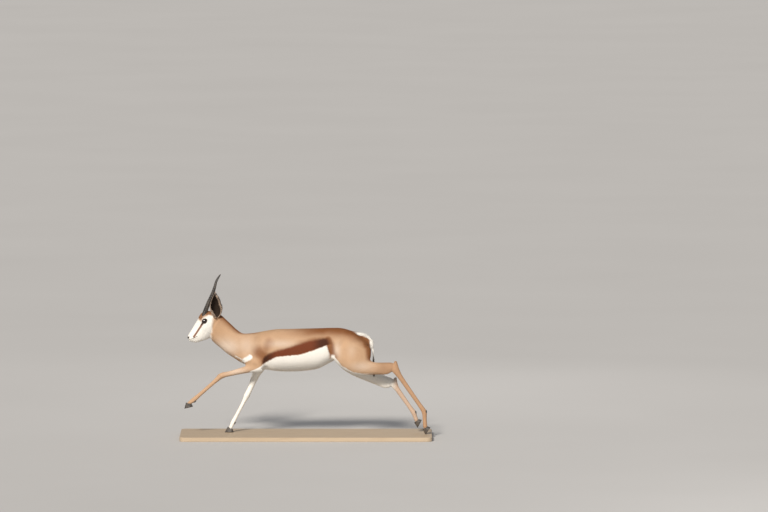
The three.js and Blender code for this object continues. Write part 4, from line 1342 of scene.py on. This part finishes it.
def make_tufts(name, roots, normals, maps, marks, lie, length, lift):
    """A coat piece of slivers, with its masks, its shade and its map. The lie turns a little from
    place to place, and every sliver differs in length and lift. Both are in millimetres."""
    count = len(roots)
    x, y, z = to_plan(roots).T
    turn = HAIR["swirl"] * wobble(x, y, z, HAIR["swirl_size"]) + rng.normal(0, HAIR["stray"], count)
    lie = unit(lie - normals * np.einsum("ij,ij->i", lie, normals)[:, None])
    lie = lie * np.cos(turn)[:, None] + np.cross(normals, lie) * np.sin(turn)[:, None]
    length = length * MM * rng.uniform(*HAIR["lengths"], count)
    lift = lift * MM * rng.uniform(*HAIR["lifts"], count)
    least, most = HAIR["widths"]
    width = np.clip(HAIR["slender"] * length, least * MM, most * MM)
    points, faces, shading = slivers(roots, normals, lie, length, lift, width,
                                     np.full(count, HAIR["sunk"] * MM))
    piece = make_mesh(name, points, np.zeros((0, 4), int), outward_faces(points, faces))
    piece.data.normals_split_custom_set_from_vertices(shading)
    store_marks(piece, np.repeat(marks, 4, axis=0))
    tone = HAIR["tones"] * np.repeat(rng.random(count), 4)
    set_shade(piece, tone + np.tile(HAIR["tip_tones"], count))
    set_map(piece, maps, np.array([[0, 0], [1, 0], [0.5, 0.6], [0.5, 1]]))
    dress(piece, "coat")
    print(name, count, "tufts,", 4 * count, "triangles")


print("tufts differ in length by the shares", HAIR["lengths"])


# %% The coat, part by part
def coat_regions(points):
    """A number for the part of the body that each root lies on, so that no piece grows too large.
    Parts but the head and neck count double, once for each side."""
    x, y, z = to_plan(points).T
    region = np.full(len(points), 3)
    region[x < -545] = 0
    region[(x >= -545) & (x < -300) & (z > 470)] = 1
    region[(x >= -300) & (x < -60) & (z > 372)] = 2
    region[(x >= 150) & (z > 350)] = 4
    legs = (z < 372) | ((x > 410) & (z < 480))
    legs |= (x < -330) & (z < 470) & (np.abs(y) > 30)
    region[legs & (x < 0)] = 5
    region[legs & (x >= 0)] = 6
    return np.where((region > 1) & (y > 0), region + 10, region)


COLLAR = {"reach": 3.5, "length": 8.5}


def horn_collar(points, normals, lie, length, lift):
    """Turns the hair beside each horn up along it. Within a few millimetres of its side the hair
    takes the direction of the horn, faces away from its middle line and leans against it."""
    plan = to_plan(points)
    side = np.where(plan[:, 1] < 0, -1, 1)[:, None]
    low, high = (np.array(row[:3]) * np.hstack([side**0, side, side**0]) for row in HORN[:4:3])
    along = unit(high - low)
    away = plan - low
    away -= along * np.einsum("ij,ij->i", away, along)[:, None]
    gap = np.linalg.norm(away, axis=1) - HORN[0][3]
    near = ((gap > 0) & (gap < COLLAR["reach"]) & (plan[:, 0] < -560) & (plan[:, 2] > 660))[:, None]
    return (np.where(near, unit(unit(away) + normals), normals), np.where(near, along, lie),
            np.where(near[:, 0], COLLAR["length"], length), np.where(near[:, 0], 0.8 - gap, lift))


COAT_PARTS = ["head", "neck", "shoulder", "flank", "haunch", "foreleg", "hindleg"]
region = coat_regions(roots)
for number in np.unique(region):
    side_name = "" if number < 2 else "_left" if number < 10 else "_right"
    chosen = region == number
    p, n, hair = roots[chosen], root_normals[chosen], lie_of(roots[chosen])
    if number == 0:
        n, *hair = horn_collar(p, n, *hair)
    name = f"coat_{COAT_PARTS[number % 10]}{side_name}"
    make_tufts(name, p, n, root_maps[chosen], markings(p), *hair)

# %% Hair of the ears
for name, side in SIDES.items():
    unwrap(ears[name])
    p, n, m, marks = scatter(ears[name], lambda points: np.full(len(points), COVER["on_ears"]))
    root, rise, across, outward = ear_axes(side)
    height = ((p - to_frame(root)) / MM) @ rise / EAR["length"]
    beside = np.abs(((p - to_frame(root)) / MM) @ across) / EAR["half"]
    inside = n @ outward > 0.1
    keep = (height > 0.05) & (~inside | (rng.random(len(p)) < 0.3 + 0.5 * ramp(beside, 0.5, 0.9)))
    length = np.where(inside, 7 + 5 * beside, 6.0 - 1.5 * height)
    lift = np.where(inside, 2.2, 0.7)
    lie = np.tile(rise, (len(p), 1)) + 0.35 * outward
    make_tufts(f"coat_ear_{name}", *(a[keep] for a in (p, n, m, marks, lie, length, lift)))

# %% [markdown]
# ## The brush of the tail, and the lashes
#
# The tail is short haired and white above and ends in a brush of long dark hair. Each strand is a
# flat tapered blade that bends as it falls. The lashes are the same slivers as the coat, set along
# the upper lid.

# %% Strands of the tail
# number, half width and half thickness in millimetres, depth of the root, height of the lowest tip
STRAND = {"count": 220, "half": 1.7, "thick": 0.8, "sunk": 1.5, "lowest": 336}


def strand_grid(start, lean, length, half, thick, bend):
    """Closed rings along each strand: the middle line leaves its root along the lean and falls
    more and more straight down, and the ring is a flat oval that tapers to the tip."""
    t = np.linspace(0, 1, 6)[None, :, None]
    down = np.array([0, 0, -1.0])
    line = start[:, None] + lean[:, None] * (np.sin(1.7 * t) * bend[:, None, None])
    line = line + down * (t**1.1 * length[:, None, None])
    across = unit(np.cross(lean, down))[:, None]
    out = unit(lean)[:, None]
    taper = (0.55 + 0.9 * t) * (1 - t**2.2) + 0.02
    v = np.linspace(0, 2 * np.pi, 5, endpoint=False)
    ring = across[:, :, None] * (np.cos(v) * half)[:, None]
    ring = ring + out[:, :, None] * (np.sin(v) * thick)[:, None]
    return line[:, :, None] + ring * taper[..., None]


on_tail = np.flatnonzero((roots[:, 0] > 0.388) & (roots[:, 2] < BASE_TOP + 0.478)
                         & (roots[:, 2] > BASE_TOP + 0.405) & (np.abs(roots[:, 1]) < 0.014))
on_tail = rng.choice(on_tail, min(STRAND["count"], len(on_tail)), replace=False)
lean = unit(root_normals[on_tail] * [1, 1, 0.001])
start = to_plan(roots[on_tail]) - STRAND["sunk"] * lean
long = rng.uniform(0.65, 1.0, len(start)) * (start[:, 2] - STRAND["lowest"])
strands = strand_grid(start, lean, long, STRAND["half"], STRAND["thick"],
                      rng.uniform(0.5, 5, len(start)))
brush = make_mesh("tail_brush", *join([tube(to_frame(grid)) for grid in strands]))
per_strand = len(brush.data.vertices) // len(strands)
places = np.linspace(0, 1, per_strand)
store_marks(brush, np.tile([0.0, 0.0, 0.0, 1.0], (len(brush.data.vertices), 1)))
set_shade(brush, np.repeat(rng.random(len(strands)), per_strand))
set_map(brush, root_maps[on_tail], np.stack([places, places], axis=1))
dress(brush, "coat")
print("tail brush:", len(strands), "strands,", len(brush.data.polygons), "faces")

# %% Lashes
LASHES = 26
lash_parts = []
for side in SIDES.values():
    bead = eye_bead(side, EYE["radius"] + 2.2, 0.1, 2 * LASHES)[:LASHES, 0]
    out = unit(bead - eye_middle(side))
    long = 5.5 + 3.0 * np.sin(np.linspace(0, math.pi, LASHES))
    direction = unit(out + [-0.15, 0, 0.55])
    thin = np.full(LASHES, 0.5)
    p, faces, _ = slivers(bead, out, direction + 0 * bead, long * 0.8, long * 0.75, thin, thin)
    lash_parts.append((to_frame(p), np.zeros((0, 4), int), outward_faces(p, faces)))
lashes = make_mesh("lashes", *join(lash_parts))
dress(lashes, "hoof")
print("lashes:", 2 * LASHES)

# %% [markdown]
# ## Finishes
#
# One node group mixes the colours of the coat from the four masks, and both the skin and the tufts
# use it. The group puts out only a colour. The shader itself stays in each material, with its
# gloss and sheen set as plain numbers.

# %% Node helpers
def new_material(name, roughness, **sockets):
    """A material with one Principled shader. Numbers and colours that never change are set on the
    shader's own sockets."""
    material = bpy.data.materials.new(name)
    material.use_nodes = True
    shader = material.node_tree.nodes["Principled BSDF"]
    shader.inputs["Roughness"].default_value = roughness
    for socket, value in sockets.items():
        shader.inputs[socket.replace("_", " ")].default_value = value
    return material, material.node_tree, shader


def feed(tree, socket, value):
    """Links a socket to an input, or sets the input to a number or colour."""
    if isinstance(value, bpy.types.NodeSocket):
        tree.links.new(value, socket)
    else:
        socket.default_value = value


def add(tree, kind, **settings):
    """A node of a kind, with its settings and with its inputs given by name."""
    node = tree.nodes.new(kind)
    for key, value in settings.items():
        if hasattr(node, key):
            setattr(node, key, value)
        else:
            feed(tree, node.inputs[key.replace("_", " ")], value)
    return node


def mix_colours(tree, factor, a, b):
    """One colour over another by a factor. Each may be a socket or numbers."""
    node = add(tree, "ShaderNodeMix", data_type="RGBA")
    for place, value in ((0, factor), (6, a), (7, b)):
        feed(tree, node.inputs[place], value)
    return node.outputs[2]


def noise(tree, scale, detail, stretch=(1, 1, 1), **settings):
    """Noise at the object's own coordinates, drawn out along an axis where the stretch is small."""
    place = add(tree, "ShaderNodeTexCoord").outputs["Object"]
    place = add(tree, "ShaderNodeMapping", Vector=place, Scale=stretch).outputs[0]
    cloud = add(tree, "ShaderNodeTexNoise", Vector=place, Scale=scale, Detail=detail, **settings)
    return cloud.outputs[0]


def rescale(tree, value, **limits):
    """A value carried from one range to another."""
    return add(tree, "ShaderNodeMapRange", Value=value, **limits).outputs[0]


def set_bump(tree, shader, height, strength, distance):
    """Lets a value raise the surface in the light, by at most a distance in metres."""
    bump = add(tree, "ShaderNodeBump", Height=height, Strength=strength, Distance=distance)
    tree.links.new(bump.outputs[0], shader.inputs["Normal"])


print("helpers for nodes are ready")

# %% The colours of the coat
FAWN = (0.475, 0.288, 0.162, 1)
FAWN_LIGHT = (0.60, 0.395, 0.25, 1)
RUFOUS = (0.235, 0.088, 0.030, 1)
WHITE = (0.90, 0.86, 0.79, 1)
STRIPE_BROWN = (0.165, 0.042, 0.015, 1)
DARK = (0.020, 0.011, 0.006, 1)
SHADE_RANGE = {"To_Min": 0.87, "To_Max": 1.09}


def coat_group():
    """Fawn by a slow noise, then rufous, stripe, white and dark laid over it by the masks, and at
    last each tuft a little lighter or darker by its shade. The white mask carries the painted
    highlights and the rufous one some painted shade."""
    group = bpy.data.node_groups.new("coat_colours", "ShaderNodeTree")
    group.interface.new_socket("Shade", in_out="INPUT", socket_type="NodeSocketFloat")
    group.interface.new_socket("Colour", in_out="OUTPUT", socket_type="NodeSocketColor")
    given, out = add(group, "NodeGroupInput"), add(group, "NodeGroupOutput")
    marks = add(group, "ShaderNodeAttribute", attribute_name="marks")
    white, stripe, rufous = add(group, "ShaderNodeSeparateColor", Color=marks.outputs["Color"]).outputs
    colour = mix_colours(group, noise(group, 9.0, 3.0, Roughness=0.55), FAWN, FAWN_LIGHT)
    for mask, over in ((rufous, RUFOUS), (stripe, STRIPE_BROWN), (white, WHITE),
                       (marks.outputs["Alpha"], DARK)):
        colour = mix_colours(group, mask, colour, over)
    shade = rescale(group, given.outputs["Shade"], **SHADE_RANGE)
    lighter = add(group, "ShaderNodeHueSaturation", Value=shade, Color=colour)
    group.links.new(lighter.outputs[0], out.inputs[0])
    return group


coat_colours = coat_group()


def coat_material(name, roughness, bump_scale, bump_depth, shade_name=None):
    """A coat finish: the shared colours, with a fine bump, and the shade of each tuft."""
    material, tree, shader = new_material(name, roughness, Sheen_Weight=0.05, Sheen_Roughness=0.4,
                                          Specular_IOR_Level=0.18)
    grain = noise(tree, bump_scale, 4.0, Roughness=0.65)
    shade = grain
    if shade_name:
        shade = add(tree, "ShaderNodeAttribute", attribute_name=shade_name).outputs["Fac"]
    colours = add(tree, "ShaderNodeGroup", node_tree=coat_colours)
    tree.links.new(shade, colours.inputs["Shade"])
    tree.links.new(colours.outputs[0], shader.inputs["Base Color"])
    set_bump(tree, shader, grain, 0.6, bump_depth)
    return material


skin_finish = coat_material("skin_hair", 0.78, 420, 0.0006)
tuft_finish = coat_material("tuft_hair", 0.72, 700, 0.0002, "shade")
print("coat finishes:", skin_finish.name, tuft_finish.name)

# %% [markdown]
# ## Horn, hoof, eye and wood
#
# Horn and hoof are the same stuff: dark, a little glossy, with fine lines along the growth. The eye
# is a dark brown ball under a clear wet coat. The board under the animal is pale, matt, sanded wood.

# %% Other finishes
def horny_material(name, dark, pale, scale, stretch):
    """Dark horn with pale lines: a noise drawn out along the growth mixes two colours, and also
    gives the gloss and the bump."""
    material, tree, shader = new_material(name, 0.42)
    lines = noise(tree, scale, 5.0, (1.0, 1.0, stretch), Roughness=0.6)
    share = rescale(tree, lines, From_Min=0.35, From_Max=0.75)
    tree.links.new(mix_colours(tree, share, dark, pale), shader.inputs["Base Color"])
    tree.links.new(rescale(tree, lines, To_Min=0.34, To_Max=0.62), shader.inputs["Roughness"])
    set_bump(tree, shader, lines, 0.5, 0.0006)
    return material


def eye_material():
    """A near black ball with brown streaks, under a clear coat."""
    material, tree, shader = new_material("wet_eye", 0.12, Coat_Weight=1.0, Coat_Roughness=0.03)
    streaks = noise(tree, 160.0, 3.0)
    colour = mix_colours(tree, streaks, (0.004, 0.003, 0.002, 1), (0.03, 0.014, 0.007, 1))
    tree.links.new(colour, shader.inputs["Base Color"])
    return material


def wood_material():
    """Long grain along X: two noises drawn out along the board, a slow one for the growth of the
    tree and a fine one for the pores, which also gives the bump."""
    material, tree, shader = new_material("sanded_board", 0.62)
    stretch = (1.0, 9.0, 9.0)
    grain = noise(tree, 5.0, 8.0, stretch, Roughness=0.62, Distortion=0.6)
    fine = noise(tree, 60.0, 4.0, stretch, Roughness=0.7)
    colour = mix_colours(tree, grain, (0.43, 0.32, 0.21, 1), (0.62, 0.50, 0.36, 1))
    pores = rescale(tree, fine, To_Max=0.35)
    tree.links.new(mix_colours(tree, pores, colour, (0.33, 0.23, 0.14, 1)), shader.inputs["Base Color"])
    set_bump(tree, shader, fine, 0.35, 0.0008)
    return material


horn_finish = horny_material("ringed_horn", (0.018, 0.015, 0.013, 1), (0.11, 0.09, 0.075, 1), 90, 0.25)
hoof_finish = horny_material("dark_hoof", (0.035, 0.029, 0.025, 1), (0.15, 0.128, 0.108, 1), 110, 0.3)
lid_finish = new_material("dark_lid", 0.38, Base_Color=(0.016, 0.012, 0.010, 1))[0]
print("finishes of the parts without hair are ready")

# %% Give each piece its finish
FINISHES = {
    ("skin", "ear_shell"): skin_finish, ("coat_", "tail_brush"): tuft_finish,
    ("ringed_horn",): horn_finish, ("claw_", "dewclaws"): hoof_finish,
    ("eye_rim", "lashes"): lid_finish, ("eyeball",): eye_material(),
}
for piece in bpy.data.objects:
    for starts, finish in FINISHES.items():
        if piece.name.startswith(starts):
            piece.data.materials.append(finish)
board = frame["nodes"]["stand_base"]
board.data.materials.clear()
board.data.materials.append(wood_material())
print("finishes:", [finish.name for finish in FINISHES.values()])

# %% [markdown]
# ## Floor, light and camera
#
# A wide pale floor and soft light let the animal speak. The camera stands far off with a long lens,
# level with a slight look down, as in the picture that the pose comes from.

# %% Stage
FLOOR_HALF = 400.0
corner = np.array([[-1, -1, 0], [1, -1, 0], [1, 1, 0], [-1, 1, 0]], float) * FLOOR_HALF
floor = make_mesh("floor", corner, np.array([[0, 1, 2, 3]]), np.zeros((0, 3), int), smooth=False)
floor_finish, tree, shader = new_material("pale_floor", 0.9)
cloud = mix_colours(tree, noise(tree, 0.6, 2.0), (0.56, 0.542, 0.52, 1), (0.60, 0.582, 0.56, 1))
tree.links.new(cloud, shader.inputs["Base Color"])
floor.data.materials.append(floor_finish)
print("floor:", 2 * FLOOR_HALF, "m wide")


# %% Lights
def area_light(name, place, aim, size, power, colour=(1, 1, 1)):
    """A soft square lamp at a place, turned towards a point."""
    lamp = bpy.data.lights.new(name, "AREA")
    lamp.size, lamp.energy, lamp.color = size, power, colour
    holder = bpy.data.objects.new(name, lamp)
    holder.location = place
    holder.rotation_euler = (Vector(aim) - Vector(place)).to_track_quat("-Z", "Y").to_euler()
    bpy.context.scene.collection.objects.link(holder)


sun = bpy.data.lights.new("key", "SUN")
sun.energy, sun.angle, sun.color = 3.7, math.radians(12), (1.0, 0.955, 0.89)
sun_holder = bpy.data.objects.new("key", sun)
sun_holder.rotation_euler = Vector((0.32, 1.0, -0.66)).to_track_quat("-Z", "Y").to_euler()
bpy.context.scene.collection.objects.link(sun_holder)
area_light("fill", (3.0, -3.5, 1.6), (0, 0, 0.5), 2.5, 10)
area_light("rim", (1.0, 3.5, 2.6), (0, 0, 0.5), 2.0, 12)
world = bpy.data.worlds.new("room")
bpy.context.scene.world = world
world.use_nodes = True
world.node_tree.nodes["Background"].inputs["Color"].default_value = (0.90, 0.93, 1.0, 1)
world.node_tree.nodes["Background"].inputs["Strength"].default_value = 0.28
print("lamps:", [lamp.name for lamp in bpy.data.lights])

# %% Camera
CAMERA = {"elevation": 5.0, "lens": 360.0, "sensor": 36.0, "distance": 46.08, "aim": (0.468, 0, 1.094)}
camera = bpy.data.objects.new("camera", bpy.data.cameras.new("camera"))
camera.data.lens, camera.data.sensor_width = CAMERA["lens"], CAMERA["sensor"]
camera.data.clip_end = 1000
rise = math.radians(CAMERA["elevation"])
back = Vector((0, -math.cos(rise), math.sin(rise)))
camera.location = Vector(CAMERA["aim"]) + back * CAMERA["distance"]
camera.rotation_euler = (-back).to_track_quat("-Z", "Y").to_euler()
bpy.context.scene.collection.objects.link(camera)
bpy.context.scene.camera = camera
bpy.context.scene.view_settings.view_transform = "Standard"
print("camera at", [round(value, 3) for value in camera.location])
